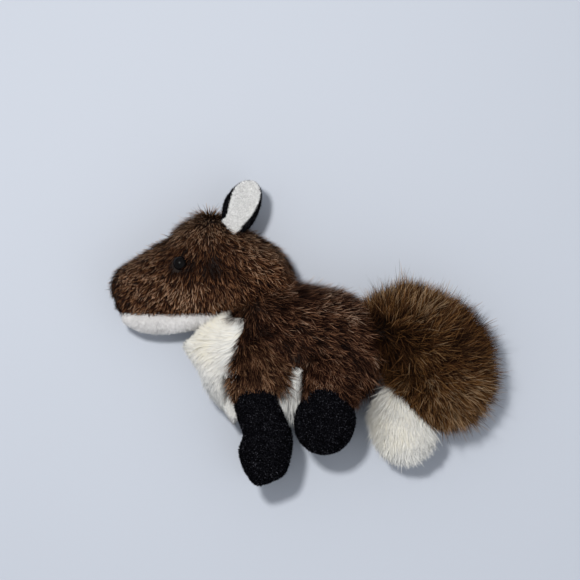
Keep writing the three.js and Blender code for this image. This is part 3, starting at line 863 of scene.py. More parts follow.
    def grow(self, name: str, skin: bpy.types.Mesh, pile: Pile, finish: Pelt, seed: int) -> bpy.types.Object:
        """Grows a pile on a skin that a coat has dressed.

        Args:
            name: The new piece's name.
            skin: The skin's mesh.
            pile: How the pile stands.
            finish: Its colours.
            seed: The seed of everything random in it.

        Returns:
            The strands as one plain mesh object.
        """
        area = sum(p.area for p in skin.polygons)
        values = {
            "Density": pile.strands / area,
            "Width": pile.width * MM,
            "Root Angle": math.radians(pile.root_angle),
            "Tip Angle": math.radians(pile.tip_angle),
            "Turn": math.radians(pile.turn),
            "Lean": math.radians(pile.lean),
            "Lock Scale": 1.0 / (pile.lock * MM),
            "Lock Turn": 2.0 * math.radians(pile.lock_turn),
            "Lock Length": 2.0 * pile.lock_length,
            "Tone Spread": pile.tone_spread,
            "Tone Patch": 2.0 * pile.tone_patch,
            "Tone Width": pile.tone_width,
            "Stray": pile.stray,
            "Table Gap": TABLE_GAP * MM,
            "Segments": pile.segments,
            "Seed": seed,
            "Material": finish_of(finish),
        }
        piece = self.run(name, skin, values)
        for attribute in self.STORED:
            if attribute in piece.data.attributes:
                piece.data.attributes.remove(piece.data.attributes[attribute])
        return piece


# Meshes


def place_object(name: str, mesh: bpy.types.Mesh) -> bpy.types.Object:
    """Puts a mesh into the scene as an object at the origin.

    Args:
        name: The object's name.
        mesh: The mesh.

    Returns:
        The object.
    """
    piece = bpy.data.objects.new(name, mesh)
    bpy.context.scene.collection.objects.link(piece)
    return piece


def settle(piece: bpy.types.Object, name: str) -> bpy.types.Object:
    """Turns an object with modifiers into a plain mesh object.

    Args:
        piece: The object, which is removed.
        name: The new object's name.

    Returns:
        The new object.
    """
    graph = bpy.context.evaluated_depsgraph_get()
    evaluated = piece.evaluated_get(graph)
    mesh = bpy.data.meshes.new_from_object(evaluated, preserve_all_data_layers=True, depsgraph=graph)
    mesh.name = name
    bpy.data.objects.remove(piece)
    return place_object(name, mesh)


def closed_mesh(name: str, points: np.ndarray, faces: Sequence[Sequence[int]]) -> bpy.types.Mesh:
    """Makes a smooth mesh whose faces point outwards.

    Args:
        name: The mesh's name.
        points: Its vertices in millimetres.
        faces: Its faces.

    Returns:
        The mesh, in metres.
    """
    mesh = bpy.data.meshes.new(name)
    mesh.from_pydata((points * MM).tolist(), [], faces)
    edit = bmesh.new()
    edit.from_mesh(mesh)
    bmesh.ops.recalc_face_normals(edit, faces=edit.faces)
    edit.to_mesh(mesh)
    edit.free()
    mesh.shade_smooth()
    return mesh


def part_of(
    mesh: bpy.types.Mesh, name: str, inside: Mask, cuts: Sequence[tuple[Vector, Vector]] = (),
) -> bpy.types.Mesh:
    """Copies the part of a skin that one cover takes.

    Args:
        mesh: The whole skin.
        name: The new mesh's name.
        inside: Says which face centres, in millimetres, belong to the part.
        cuts: Planes to cut along first, each a point in millimetres and a normal.

    Returns:
        The part's mesh.
    """
    edit = bmesh.new()
    edit.from_mesh(mesh)
    for point, normal in cuts:
        whole = [*edit.verts, *edit.edges, *edit.faces]
        bmesh.ops.bisect_plane(edit, geom=whole, plane_co=point * MM, plane_no=normal)
    centres = np.array([face.calc_center_median() for face in edit.faces]) / MM
    kept = inside(centres)
    bmesh.ops.delete(edit, geom=[f for f, keep in zip(edit.faces, kept) if not keep], context="FACES")
    part = bpy.data.meshes.new(name)
    edit.to_mesh(part)
    edit.free()
    part.shade_smooth()
    return part


def read_mesh(mesh: bpy.types.Mesh) -> tuple[np.ndarray, np.ndarray]:
    """Reads a mesh.

    Args:
        mesh: The mesh.

    Returns:
        Its vertices in metres, and their normals.
    """
    points, normals = np.empty((2, len(mesh.vertices) * 3))
    mesh.vertices.foreach_get("co", points)
    mesh.vertex_normals.foreach_get("vector", normals)
    return points.reshape(-1, 3), normals.reshape(-1, 3)


def move_points(mesh: bpy.types.Mesh, points: np.ndarray) -> None:
    """Moves a mesh's vertices to new places in metres."""
    mesh.vertices.foreach_set("co", points.ravel())
    mesh.update()


def draw_in(mesh: bpy.types.Mesh, distance: np.ndarray) -> None:
    """Draws a mesh in along its normals, and keeps it above the table.

    Args:
        mesh: The mesh.
        distance: How far each vertex goes in, in millimetres.
    """
    points, normals = read_mesh(mesh)
    drawn = points - normals * distance[:, None] * MM
    drawn[:, 2] = np.maximum(drawn[:, 2], TABLE_GAP * MM)
    move_points(mesh, drawn)


def add_wall(piece: bpy.types.Object, thickness: float, offset: float = -1.0) -> None:
    """Gives a sheet a thickness.

    Args:
        piece: The sheet.
        thickness: How thick it becomes, in millimetres.
        offset: -1 to grow inwards, or 0 to grow to both sides.
    """
    wall = piece.modifiers.new("wall", "SOLIDIFY")
    wall.thickness = thickness * MM
    wall.offset = offset


def ring_faces(rings: int, sides: int, open_start: bool = False) -> list[list[int]]:
    """Joins rings of points, and closes them with the two points that follow them.

    Args:
        rings: How many rings.
        sides: Points in each.
        open_start: Leaves the first end open.

    Returns:
        The faces.
    """
    index = np.arange(rings * sides).reshape(rings, sides)
    after = np.roll(index, -1, axis=1)
    faces = np.stack([index[:-1], after[:-1], after[1:], index[1:]], axis=-1).reshape(-1, 4).tolist()
    top = rings * sides
    if not open_start:
        faces += [[top, b, a] for a, b in zip(index[0].tolist(), after[0].tolist())]
    return faces + [[top + 1, a, b] for a, b in zip(index[-1].tolist(), after[-1].tolist())]


@dataclass(frozen=True)
class Station:
    """One oval section of a soft form, with the heading of its width in the plan."""

    middle: tuple[float, float, float]
    heading: float
    half: float
    thick: float


def side_stations(
    profile: Profile, place: Sequence[float], length: float, height: float, width: float,
) -> tuple[Station, ...]:
    """Places the sections of a form that is drawn in side view.

    Args:
        profile: The place along, the top, the bottom and the width of each section, as shares.
        place: Where the profile's origin goes.
        length: The form's length, below 0 where it runs towards -X.
        height: Its height in the plan.
        width: Its width.

    Returns:
        The sections.
    """
    return tuple(
        Station(
            (place[0] + along * length, place[1] + (top + bottom) / 2 * height, place[2]),
            90.0, (top - bottom) / 2 * height, share * width / 2,
        )
        for along, top, bottom, share in profile
    )


@dataclass(frozen=True)
class Loft:
    """A closed soft form that is drawn smoothly through its stations."""

    stations: tuple[Station, ...]
    taper: float = 0.0
    nose: float = 0.45
    inset_limit: float = 0.42

    def drawn(self, count: int) -> np.ndarray:
        """Draws the stations out to more of them.

        Args:
            count: How many.

        Returns:
            A row of middle, heading, half width and half thickness for each.
        """
        rows = np.array([[*s.middle, s.heading, s.half, s.thick] for s in self.stations])
        ends = np.vstack([2 * rows[0] - rows[1], rows, 2 * rows[-1] - rows[-2]])
        place = np.linspace(0, len(rows) - 1, count)
        first = np.minimum(place.astype(int), len(rows) - 2)
        t = (place - first)[:, None]
        a, b, c, d = (ends[first + k] for k in range(4))
        curve = 2 * b + (c - a) * t + (2 * a - 5 * b + 4 * c - d) * t ** 2 + (3 * b - a - 3 * c + d) * t ** 3
        return curve / 2

    def mesh(
        self, name: str, rings: int, sides: int, inset: float = 0.0, open_start: bool = False,
    ) -> bpy.types.Mesh:
        """Builds the form's mesh.

        Args:
            name: The mesh's name.
            rings: Sections along it.
            sides: Points around it.
            inset: How far it is drawn in along its normals, where its sections have room for that.
            open_start: Leaves the first end open.

        Returns:
            The mesh.
        """
        rows = self.drawn(rings)
        angle = np.linspace(0, 2 * np.pi, sides, endpoint=False)
        heading = np.radians(rows[:, 3])
        across = np.column_stack([np.cos(heading), np.sin(heading), np.zeros(rings)])
        points = rows[:, None, :3] + across[:, None, :] * (rows[:, 4, None] * np.cos(angle))[:, :, None]
        points[..., 2] += rows[:, 5, None] * np.sin(angle) * (1 + self.taper * np.cos(angle))
        poles = [self.pole(rows[0], rows[1]), self.pole(rows[-1], rows[-2])]
        if open_start:
            poles = [points[0, 0], poles[1]]
        corners = np.vstack([points.reshape(-1, 3), poles])
        mesh = closed_mesh(name, corners, ring_faces(rings, sides, open_start))
        room = np.minimum(inset, self.inset_limit * np.minimum(rows[:, 4], rows[:, 5]))
        draw_in(mesh, np.concatenate([np.repeat(room, sides), room[[0, -1]]]))
        if open_start:
            drop_loose(mesh)
        return mesh

    def pole(self, end: np.ndarray, inner: np.ndarray) -> np.ndarray:
        """Places the rounded point past an end section.

        Args:
            end: The end section's row.
            inner: The row before it.

        Returns:
            The point.
        """
        way = end[:3] - inner[:3]
        reach = self.nose * min(end[4], end[5])
        return end[:3] + way / (np.linalg.norm(way) + 1e-9) * reach


def drop_loose(mesh: bpy.types.Mesh) -> None:
    """Removes the vertices that no face uses.

    Args:
        mesh: The mesh.
    """
    edit = bmesh.new()
    edit.from_mesh(mesh)
    bmesh.ops.delete(edit, geom=[v for v in edit.verts if not v.link_faces], context="VERTS")
    edit.to_mesh(mesh)
    edit.free()


def lathe_mesh(
    name: str, profile: Sequence[tuple[float, float]], sides: int, place: np.ndarray, up: float,
) -> bpy.types.Mesh:
    """Turns a profile about an upright axis.

    Args:
        name: The mesh's name.
        profile: Radius and height of each corner, on the axis at both ends.
        sides: Points around.
        place: Where the profile's origin goes.
        up: 1 to stand upright or -1 to hang down.

    Returns:
        The mesh.
    """
    angle = np.linspace(0, 2 * np.pi, sides, endpoint=False)
    rings = np.array(profile[1:-1])
    points = np.stack([
        np.outer(rings[:, 0], np.cos(angle)),
        np.outer(rings[:, 0], np.sin(angle)),
        np.repeat(rings[:, 1, None], sides, axis=1) * up,
    ], axis=-1).reshape(-1, 3)
    ends = np.array([[0, 0, profile[0][1] * up], [0, 0, profile[-1][1] * up]])
    return closed_mesh(name, np.vstack([points, ends]) + place, ring_faces(len(rings), sides))


# Covers


@dataclass(frozen=True)
class Bend:
    """A joint that a cover's cloth crosses: its two bodies and where the bend starts and ends."""

    parent: str
    child: str
    start: np.ndarray
    end: np.ndarray


@dataclass
class Workshop:
    """Makes covers, fillings and small pieces, and keeps count of them."""

    pile_tree: PileTree = field(default_factory=PileTree)
    cloth_thickness: float = 0.7
    filling_share: float = 0.95
    lump_waves: int = 6
    lump_pitch: float = 420.0
    lump_height: float = 0.8
    lump_sink: float = 0.4
    lump_phase: float = 6.28
    first_seed: int = 11
    made: int = 0

    def report(self, piece: bpy.types.Object, body: str) -> None:
        """Writes one line about a piece."""
        self.made += 1
        LOG.info("%s on %s: %d faces", piece.name, body, len(piece.data.polygons))

    def carry(self, piece: bpy.types.Object, body: str, bend: Optional[Bend]) -> None:
        """Lets a piece ride on a body, or leaves a piece that crosses a joint fixed in place, on no body.

        Args:
            piece: The piece.
            body: The body that it rides on.
            bend: The joint that it crosses; the piece is then left fixed in place.
        """
        if bend is None:
            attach(piece, body)
        else:
            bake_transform(piece)
        self.report(piece, body)

    def cover(
        self,
        node: str,
        body: str,
        slot: str,
        skin: bpy.types.Mesh,
        ground: Ground,
        coat: Coat,
        pile: Pile,
        pelt: Pelt,
        bend: Optional[Bend] = None,
        fill: float = 0.7,
    ) -> None:
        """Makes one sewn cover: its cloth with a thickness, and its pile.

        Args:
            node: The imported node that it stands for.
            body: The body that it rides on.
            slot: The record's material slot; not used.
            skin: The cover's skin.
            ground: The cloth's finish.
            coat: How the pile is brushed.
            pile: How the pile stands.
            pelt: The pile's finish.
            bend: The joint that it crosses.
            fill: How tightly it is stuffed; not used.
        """
        cloth = place_object(node + "_cloth_base", skin.copy())
        cloth.data.materials.clear()
        cloth.data.materials.append(finish_of(ground))
        add_wall(cloth, self.cloth_thickness)
        cloth = settle(cloth, node + "_cloth")
        coat.dress(skin)
        hair = self.pile_tree.grow(node + "_pile", skin, pile, pelt, self.first_seed + self.made)
        for piece in (cloth, hair):
            self.carry(piece, body, bend)
        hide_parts(node)

    def filling(self, node: str, body: str, mesh: bpy.types.Mesh, seed: int) -> None:
        """Makes a lumpy mass of fibre.

        Args:
            node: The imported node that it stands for.
            body: The body that it rides on.
            mesh: Its form.
            seed: The seed of its lumps.
        """
        draw = np.random.default_rng(seed)
        points, normals = read_mesh(mesh)
        points = points.mean(axis=0) + (points - points.mean(axis=0)) * self.filling_share
        lumps = np.zeros(len(points))
        for _ in range(self.lump_waves):
            wave = draw.normal(0.0, self.lump_pitch, 3)
            lumps += np.sin(points @ wave + draw.uniform(0.0, self.lump_phase))
        height = lumps[:, None] / self.lump_waves - self.lump_sink
        move_points(mesh, points + normals * height * self.lump_height * MM)
        mesh.materials.append(finish_of(Ground.FIBRE))
        piece = place_object(node + "_fibre", mesh)
        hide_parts(node)
        self.carry(piece, body, None)

    def part(self, name: str, mesh: bpy.types.Mesh, ground: Ground, body: str, slot: str) -> bpy.types.Object:
        """Makes a plain piece with one finish.

        Args:
            name: The piece's name.
            mesh: Its mesh.
            ground: Its finish.
            body: The body that it rides on.
            slot: The record's material slot; not used.

        Returns:
            The piece.
        """
        mesh.materials.clear()
        mesh.materials.append(finish_of(ground))
        piece = place_object(name, mesh)
        self.carry(piece, body, None)
        return piece


class Side(Enum):
    """The fox's sides. The left one is up."""

    LEFT = 1
    RIGHT = -1

    @property
    def word(self) -> str:
        """The side's name in the nodes' names."""
        return self.name.lower()


NECK = joint_place("head_nod")
SHOULDER = joint_place("front_leg_left_swing")
HIP = joint_place("hind_leg_left_swing")
TAIL_ROOT = joint_place("tail_lift")
TABLE_FLAT = 0.5  # how far the lying side is pressed flat


@dataclass(frozen=True)
class Sweep:
    """The strips of the plan in which a leg lies while it swings, one for each turn in degrees."""

    pivot: np.ndarray
    half: float
    shift: float
    start: float
    end: float
    turns: tuple[float, ...]

    def apart(self, points: np.ndarray) -> np.ndarray:
        """Measures points of the plan from the nearest strip.

        Args:
            points: The points.

        Returns:
            How far each lies from it.
        """
        x, y = points[:, 0] - self.pivot[0], points[:, 1] - self.pivot[1]
        nearest = np.full(len(points), np.inf)
        for turn in self.turns:
            angle = math.radians(turn)
            side = x * math.cos(angle) + y * math.sin(angle) - self.shift
            along = x * math.sin(angle) - y * math.cos(angle)
            past = np.maximum(np.maximum(self.start - along, along - self.end), 0.0)
            nearest = np.minimum(nearest, np.hypot(np.maximum(np.abs(side) - self.half, 0.0), past))
        return nearest


SWEEPS = (
    Sweep(SHOULDER, half=10.6, shift=3.0, start=9.0, end=50.0, turns=(0.0, -6.0, -12.0, -18.0)),
    Sweep(HIP, half=12.8, shift=0.3, start=10.0, end=34.0, turns=(0.0, 4.5, 9.0)),
)


@dataclass
class Torso:
    """The body cover, the white panel, the filling and the finger pocket."""

    length: float = 83.0
    depth: float = 62.0
    width: float = 43.0
    taper: float = 0.18
    pile_depth: float = 2.9
    leg_room: float = 6.4
    room_slope: float = 1.5
    pocket_width: float = 14.0
    pocket_span: float = 10.4
    pocket_wall: float = 1.0
    sleeve_gap: float = 2.0
    sleeve_rings: tuple[tuple[float, float], ...] = (
        (0.0, 1.0), (0.25, 1.02), (0.5, 1.0), (0.8, 0.92), (0.93, 0.7), (1.0, 0.3),
    )
    skin_grid: tuple[int, int] = (110, 120)
    core_grid: tuple[int, int] = (40, 40)
    sleeve_grid: tuple[int, int] = (36, 56)
    filling_seed: int = 3
    mouth_depth: float = 8.0
    mouth_points: int = 48
    hem_radius: float = 0.8
    stitch_step: float = 2.2
    core_gap: float = 2.2
    chest_rear: float = -15.0
    trim: Trim = Trim(0.2, 12.0)
    neck_share: tuple[float, float] = (-0.095, 0.442)
    profile: Profile = (
        (-0.5, 0.08, 0.0, 0.23),
        (-0.464, 0.137, -0.097, 0.47),
        (-0.416, 0.178, -0.226, 0.65),
        (-0.343, 0.242, -0.435, 0.79),
        (-0.271, 0.338, -0.54, 0.88),
        (-0.175, 0.452, -0.47, 0.95),
        (-0.054, 0.508, -0.4, 1.0),
        (0.066, 0.484, -0.38, 1.0),
        (0.187, 0.456, -0.37, 1.0),
        (0.295, 0.424, -0.347, 0.96),
        (0.38, 0.363, -0.306, 0.87),
        (0.452, 0.25, -0.226, 0.68),
        (0.5, 0.081, -0.097, 0.3),
    )
    seam: tuple[tuple[float, float], ...] = (
        (-0.7, 0.34),
        (-0.2, 0.22),
        (-0.24, 0.02),
        (-0.16, -0.12),
        (-0.04, -0.15),
        (0.066, -0.1),
        (0.2, -0.22),
        (0.7, -0.38),
    )

    def __post_init__(self) -> None:
        """Places the body by its neck."""
        self.x = NECK[0] - self.neck_share[0] * self.length
        self.y = NECK[1] - self.neck_share[1] * self.depth
        self.middle = self.width / 2 - TABLE_FLAT

    def loft(self) -> Loft:
        """Gives the body's form."""
        place = (self.x, self.y, self.middle)
        return Loft(side_stations(self.profile, place, self.length, self.depth, self.width), self.taper)

    def white(self, points: np.ndarray) -> np.ndarray:
        """Sorts points by the seam.

        Args:
            points: Points of the plan.

        Returns:
            Which of them lie on its white side.
        """
        far = 400.0
        line = [(self.x + a * self.length, self.y + b * self.depth) for a, b in self.seam]
        corners = [*line, (far, -far), (-far, -far)]
        inside = np.zeros(len(points), bool)
        for (ax, ay), (bx, by) in zip(corners, corners[1:] + corners[:1]):
            crosses = (ay > points[:, 1]) != (by > points[:, 1])
            reach = ax + (points[:, 1] - ay) * (bx - ax) / (by - ay if by != ay else 1e-9)
            inside ^= crosses & (points[:, 0] < reach)
        return inside

    def mouth(self, points: np.ndarray) -> np.ndarray:
        """Sorts points by the pocket's mouth.

        Args:
            points: The points.

        Returns:
            Which of them lie in it.
        """
        low, high = node_box("finger_pocket")
        middle = (low + high) / 2
        across = (points[:, 0] - middle[0]) / (self.pocket_width / 2)
        along = (points[:, 2] - self.middle) / (self.pocket_span / 2)
        return (across ** 2 + along ** 2 < 1.0) & (points[:, 1] < middle[1] - self.mouth_depth)

    def make(self, shop: Workshop) -> None:
        """Makes the torso's pieces.

        Args:
            shop: Makes the covers and the filling.
        """
        skin = self.loft().mesh("body_skin", *self.skin_grid, self.pile_depth)
        self.make_room(skin)
        brown = part_of(skin, "body_brown", lambda p: ~self.white(p))
        panel = part_of(skin, "body_white", lambda p: self.white(p) & ~self.mouth(p))
        shop.cover(
            "body_cover", "torso", "brown_pile", brown, Ground.BROWN, self.brown_coat(), BODY_PILE, Pelt.BODY,
        )
        shop.cover(
            "chest_and_belly_panel", "torso", "white_pile", panel, Ground.WHITE, self.white_coat(),
            CHEST_PILE, Pelt.WHITE,
        )
        inner = Loft(self.loft().stations[1:-1], self.taper)
        core = inner.mesh("body_core", *self.core_grid, self.pile_depth + self.core_gap)
        self.make_room(core)
        shop.filling("body_stuffing", "torso", core, self.filling_seed)
        self.make_pocket(shop)

    def beside_legs(self, points: np.ndarray) -> np.ndarray:
        """Gives how far points of the plan lie from where the legs lie and swing."""
        return np.minimum.reduce([sweep.apart(points) for sweep in SWEEPS])

    def clear_of_legs(self, points: np.ndarray) -> np.ndarray:
        """Gives the share of the chest pile's length that keeps off the legs."""
        return np.where(points[:, 0] < self.chest_rear, self.trim.share(self.beside_legs(points)), 1.0)

    def make_room(self, mesh: bpy.types.Mesh) -> None:
        """Presses the body's sides in where the legs lie and swing.

        Args:
            mesh: The body's skin or filling.
        """
        points = read_mesh(mesh)[0] / MM
        limit = self.leg_room + self.room_slope * self.beside_legs(points)
        out = points[:, 2] - self.middle
        points[:, 2] = self.middle + np.sign(out) * np.minimum(np.abs(out), limit)
        move_points(mesh, points * MM)

    def brown_coat(self) -> Coat:
        """Brushes the back and flanks towards the tail, and the shoulder down.

        Returns:
            The coat.
        """
        return Coat(
            length=6.8, tone=0.24,
            strokes=(
                Stroke(-25, 8, -78), Stroke(-29, -4, -105), Stroke(-28, 14, -50), Stroke(-12, 18, -25),
                Stroke(6, 16, -12), Stroke(24, 12, -15), Stroke(-16, 2, -30), Stroke(4, 2, -18),
                Stroke(24, -2, -28),
                Stroke(-32, -12, -110), Stroke(-20, -14, -75), Stroke(-4, -10, -45),
                Stroke(10, -14, -50), Stroke(26, -18, -60), Stroke(20, -24, -84),
            ),
            longer=(Patch(-5, -12, 8, -4.5), Patch(26, -18, 8, 2.5), Patch(21, -24, 6, 3.0)),
            lighter=(
                Patch(-14, 6, 10, 0.07), Patch(10, 4, 16, 0.09), Patch(-22, -4, 8, -0.08),
                Patch(-6, 14, 8, -0.1), Patch(-12, -18, 6, 0.25),
            ),
            # Painted light along the back's edge.
            rim=0.25,
        )

    def white_coat(self) -> Coat:
        """Brushes the chest down, and the belly between the legs.

        Returns:
            The coat.
        """
        return Coat(
            length=8.5, tone=0.32,
            strokes=(
                Stroke(-47, 1, 122), Stroke(-40, 4, 105), Stroke(-35, 5, 95), Stroke(-29, 3, 190),
                Stroke(-42, -10, -108), Stroke(-32, -8, -142), Stroke(-33, -18, -132),
                Stroke(-38, -26, -102), Stroke(-30, -40, -80),
                Stroke(-8, -24, -88), Stroke(-8, -34, -90), Stroke(10, -26, -80), Stroke(26, -22, -70),
            ),
            longer=(Patch(-7, -28, 9, 5.0), Patch(-52, -1, 9, -7.4), Patch(-27, 5, 7, -4.0)),
            # The top patch makes the chest creamier and lighter: the fur's cream tint, with some painted
            # light. The darker patches are painted shade: at the chest's front edge, low on the chest, and on
            # the belly between the legs.
            lighter=(
                Patch(-40, 0, 11, 0.55), Patch(-43, -16, 7, -0.2), Patch(-30, -40, 12, -0.2),
                Patch(-7, -28, 7, -0.15),
            ),
            trim=self.clear_of_legs,
        )

    def make_pocket(self, shop: Workshop) -> None:
        """Makes the lining sleeve, its rolled hem and the stitches that hold it.

        Args:
            shop: Makes the pieces.
        """
        low, high = node_box("finger_pocket")
        x, depth = (low[0] + high[0]) / 2, high[1] - low[1]
        stations = tuple(
            Station(
                (x, low[1] + along * (depth - self.sleeve_gap), self.middle), 0.0,
                share * self.pocket_width / 2 + self.pocket_wall,
                share * self.pocket_span / 2 + self.pocket_wall,
            )
            for along, share in self.sleeve_rings
        )
        form = Loft(stations).mesh("sleeve", *self.sleeve_grid, open_start=True)
        sleeve = place_object("sleeve_base", form)
        sleeve.data.materials.append(finish_of(Ground.POCKET))
        add_wall(sleeve, self.pocket_wall)
        sleeve = settle(sleeve, "finger_pocket_sleeve")
        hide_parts("finger_pocket")
        shop.carry(sleeve, "torso", None)
        rim = self.mouth_line(x, low[1] + self.hem_radius / 2)
        hem = tube_mesh("hem", rim, self.hem_radius, 10)
        shop.part("finger_pocket_hem", hem, Ground.POCKET, "torso", "pocket_cloth")
        stitches = StitchTree().sew("finger_pocket_stitches", rim, self.stitch_step, Ground.THREAD)
        shop.carry(stitches, "torso", None)

    def mouth_line(self, x: float, y: float) -> np.ndarray:
        """Gives the closed line round the pocket's mouth.

        Args:
            x: Its middle along the body.
            y: Its place across the body.

        Returns:
            The line's points.
        """
        angle = np.linspace(0, 2 * np.pi, self.mouth_points, endpoint=False)
        across = (self.pocket_width / 2 + self.pocket_wall / 2) * np.cos(angle)
        along = (self.pocket_span / 2 + self.pocket_wall / 2) * np.sin(angle)
        return np.column_stack([x + across, np.full(self.mouth_points, y), self.middle + along])


def tube_mesh(name: str, line: np.ndarray, radius: float, sides: int) -> bpy.types.Mesh:
    """Makes a closed tube round a flat closed line.

    Args:
        name: The mesh's name.
        line: The line's points, which lie across Y.
        radius: The tube's radius.
        sides: Points around it.

    Returns:
        The mesh.
    """
    way = np.roll(line, -1, axis=0) - np.roll(line, 1, axis=0)
    way /= np.linalg.norm(way, axis=1, keepdims=True)
    across = np.cross(way, np.array([0.0, 1.0, 0.0]))
    angle = np.linspace(0, 2 * np.pi, sides, endpoint=False)
    points = line[:, None] + radius * (
        across[:, None] * np.cos(angle)[None, :, None]
        + np.array([0.0, 1.0, 0.0]) * np.sin(angle)[None, :, None]
    )
    index = np.arange(len(line) * sides).reshape(-1, sides)
    around, after = np.roll(index, -1, axis=1), np.roll(index, -1, axis=0)
    both = np.roll(around, -1, axis=0)
    faces = np.stack([index, around, both, after], axis=-1).reshape(-1, 4).tolist()
    return closed_mesh(name, points.reshape(-1, 3), faces)


class StitchTree(GroupTree):
    """The node tree that sets stitches along a line."""

    THREAD, STRETCH, LIFT = 0.22, 3.2, 0.75

    def __init__(self) -> None:
        """Writes the tree."""
        super().__init__("stitches", {
            "Line": "Geometry", "Step": "Float", "Thread": "Float", "Material": "Material",
        })
        recipe, inputs = self.recipe, self.inputs
        curve = recipe.node("GeometryNodeMeshToCurve", None, {"Mesh": inputs["Line"]})["Curve"]
        spots = recipe.node("GeometryNodeCurveToPoints", {"mode": "LENGTH"}, {
            "Curve": curve, "Length": inputs["Step"],
        })
        bead = recipe.node("GeometryNodeMeshUVSphere", None, {
            "Segments": 8, "Rings": 6, "Radius": inputs["Thread"],
        })["Mesh"]
        sewn = recipe.node("GeometryNodeInstanceOnPoints", None, {
            "Points": spots["Points"],
            "Instance": recipe.changed("Transform", bead, Scale=(1.0, 1.0, self.STRETCH)),
            "Rotation": spots["Rotation"],
        })["Instances"]
        real = recipe.changed("RealizeInstances", sewn)
        self.end(recipe.changed("SetMaterial", real, Material=inputs["Material"]))

    def sew(self, name: str, line: np.ndarray, step: float, ground: Ground) -> bpy.types.Object:
        """Sews along a closed line.

        Args:
            name: The new piece's name.
            line: The line's points.
            step: The length of a stitch and its gap.
            ground: The thread's finish.

        Returns:
            The stitches as one plain mesh object.
        """
        mesh = bpy.data.meshes.new(name + "_line")
        lift = np.array([0.0, -self.LIFT, 0.0])
        edges = [(k, (k + 1) % len(line)) for k in range(len(line))]
        mesh.from_pydata(((line + lift) * MM).tolist(), edges, [])
        values = {"Step": step * MM, "Thread": self.THREAD * MM, "Material": finish_of(ground)}
        return self.run(name, mesh, values)


@dataclass
class Ear:
    """One ear: a black back and a pale lining in it, cupped outwards."""

    side: Side
    length: float = 22.0
    width: float = 15.0
    root_width: float = 9.0
    heading: float = 62.0
    cup: float = 1.5
    droop: float = 1.2
    root_slant: tuple[float, float] = (1.0, 3.0)
    widest: float = 0.42
    back_lift: float = -0.5
    back_thick: float = 1.2
    lining_lift: float = 0.55
    lining_thick: float = 0.9
    left_inset: tuple[float, float] = (0.1, 4.8)
    right_inset: tuple[float, float] = (0.25, 3.5)
    rows: int = 30
    columns: int = 22

    def __post_init__(self) -> None:
        """Places the ear on its fold."""
        self.root = joint_place(f"ear_{self.side.word}_fold")
        self.along = plan_way(self.heading)
        self.across = np.array([self.along[1], -self.along[0], 0.0])

    def half(self, s: np.ndarray) -> np.ndarray:
        """Gives half the ear's width along it.

        Args:
            s: The place along the ear, from 0 at its root to 1 at its tip.

        Returns:
            Half the width there.
        """
        low = np.sin(np.clip(s / self.widest, 0, 1) * np.pi / 2)
        root, full = self.root_width / 2, self.width / 2
        high = np.sqrt(np.clip(1 - (np.clip(s - self.widest, 0, 1) / (1 - self.widest)) ** 2, 0, 1))
        return np.where(s < self.widest, root + (full - root) * low, full * high)

    def leaf(self, name: str, left: Mask, right: Mask, lift: float, thick: float) -> bpy.types.Mesh:
        """Builds one layer of the ear.

        Args:
            name: The mesh's name.
            left: How far its left edge stays inside the outline, by the place along.
            right: The same for its right edge.
            lift: How far it lies out from the fold.
            thick: Its thickness.

        Returns:
            The layer's mesh.
        """
        s = np.linspace(0, 0.995, self.rows)[:, None] ** np.array(0.9)
        half = self.half(s)
        low, high = -half + left(s), half - right(s)
        low, high = np.minimum(low, (low + high) / 2), np.maximum(high, (low + high) / 2)
        c = np.linspace(0, 1, self.columns)[None]
        wide = low + (high - low) * c
        share = wide / (self.width / 2)
        slant = -(self.root_slant[0] + self.root_slant[1] * share) * (1 - s) ** 2
        rise = self.side.value * (lift + self.cup * share ** 2 - self.droop * s ** 2)
        points = (
            self.root
            + self.along * (s * self.length + slant)[..., None]
            + self.across * wide[..., None]
            + np.array([0, 0, 1.0]) * np.broadcast_to(rise, wide.shape)[..., None]
        )
        index = np.arange(self.rows * self.columns).reshape(self.rows, self.columns)
        faces = np.stack([index[:-1, :-1], index[:-1, 1:], index[1:, 1:], index[1:, :-1]], axis=-1)
        mesh = bpy.data.meshes.new(name)
        mesh.from_pydata((points.reshape(-1, 3) * MM).tolist(), [], faces.reshape(-1, 4).tolist())
        if mesh.polygons[0].normal.z * self.side.value < 0:
            mesh.flip_normals()
        sheet = place_object(name + "_sheet", mesh)
        add_wall(sheet, thick, 0.0)
        soft = sheet.modifiers.new("round", "SUBSURF")
        soft.levels = soft.render_levels = 1
        whole = settle(sheet, name)
        mesh = whole.data.copy()
        bpy.data.objects.remove(whole)
        mesh.shade_smooth()
        return mesh

    def make(self, shop: Workshop) -> None:
        """Makes both layers with their short naps.

        Args:
            shop: Makes the covers.
        """
        body = f"ear_{self.side.word}"
        back = self.leaf(
            f"{body}_back_skin", np.zeros_like, np.zeros_like, self.back_lift, self.back_thick,
        )
        (left, left_more), (right, right_more) = self.left_inset, self.right_inset
        lining = self.leaf(
            f"{body}_lining_skin",
            lambda s: left + left_more * np.sin(np.pi * np.clip(s, 0, 1) ** 0.8) * (1 - s) ** 1.3,
            lambda s: right + right_more * (1 - s) ** 1.25 * np.clip(s * 4, 0.5, 1),
            self.lining_lift, self.lining_thick,
        )
        strokes = (Stroke(self.root[0], self.root[1], self.heading),)
        shop.cover(
            f"{body}_back", body, "black_short_pile", back, Ground.BLACK,
            Coat(length=0.8, tone=0.45, strokes=strokes), EAR_NAP, Pelt.BOOT, fill=0.1,
        )
        shop.cover(
            f"{body}_lining", body, "ear_lining_pile", lining, Ground.PALE,
            Coat(length=0.7, tone=0.55, strokes=strokes), LINING_NAP, Pelt.EAR, fill=0.1,
        )


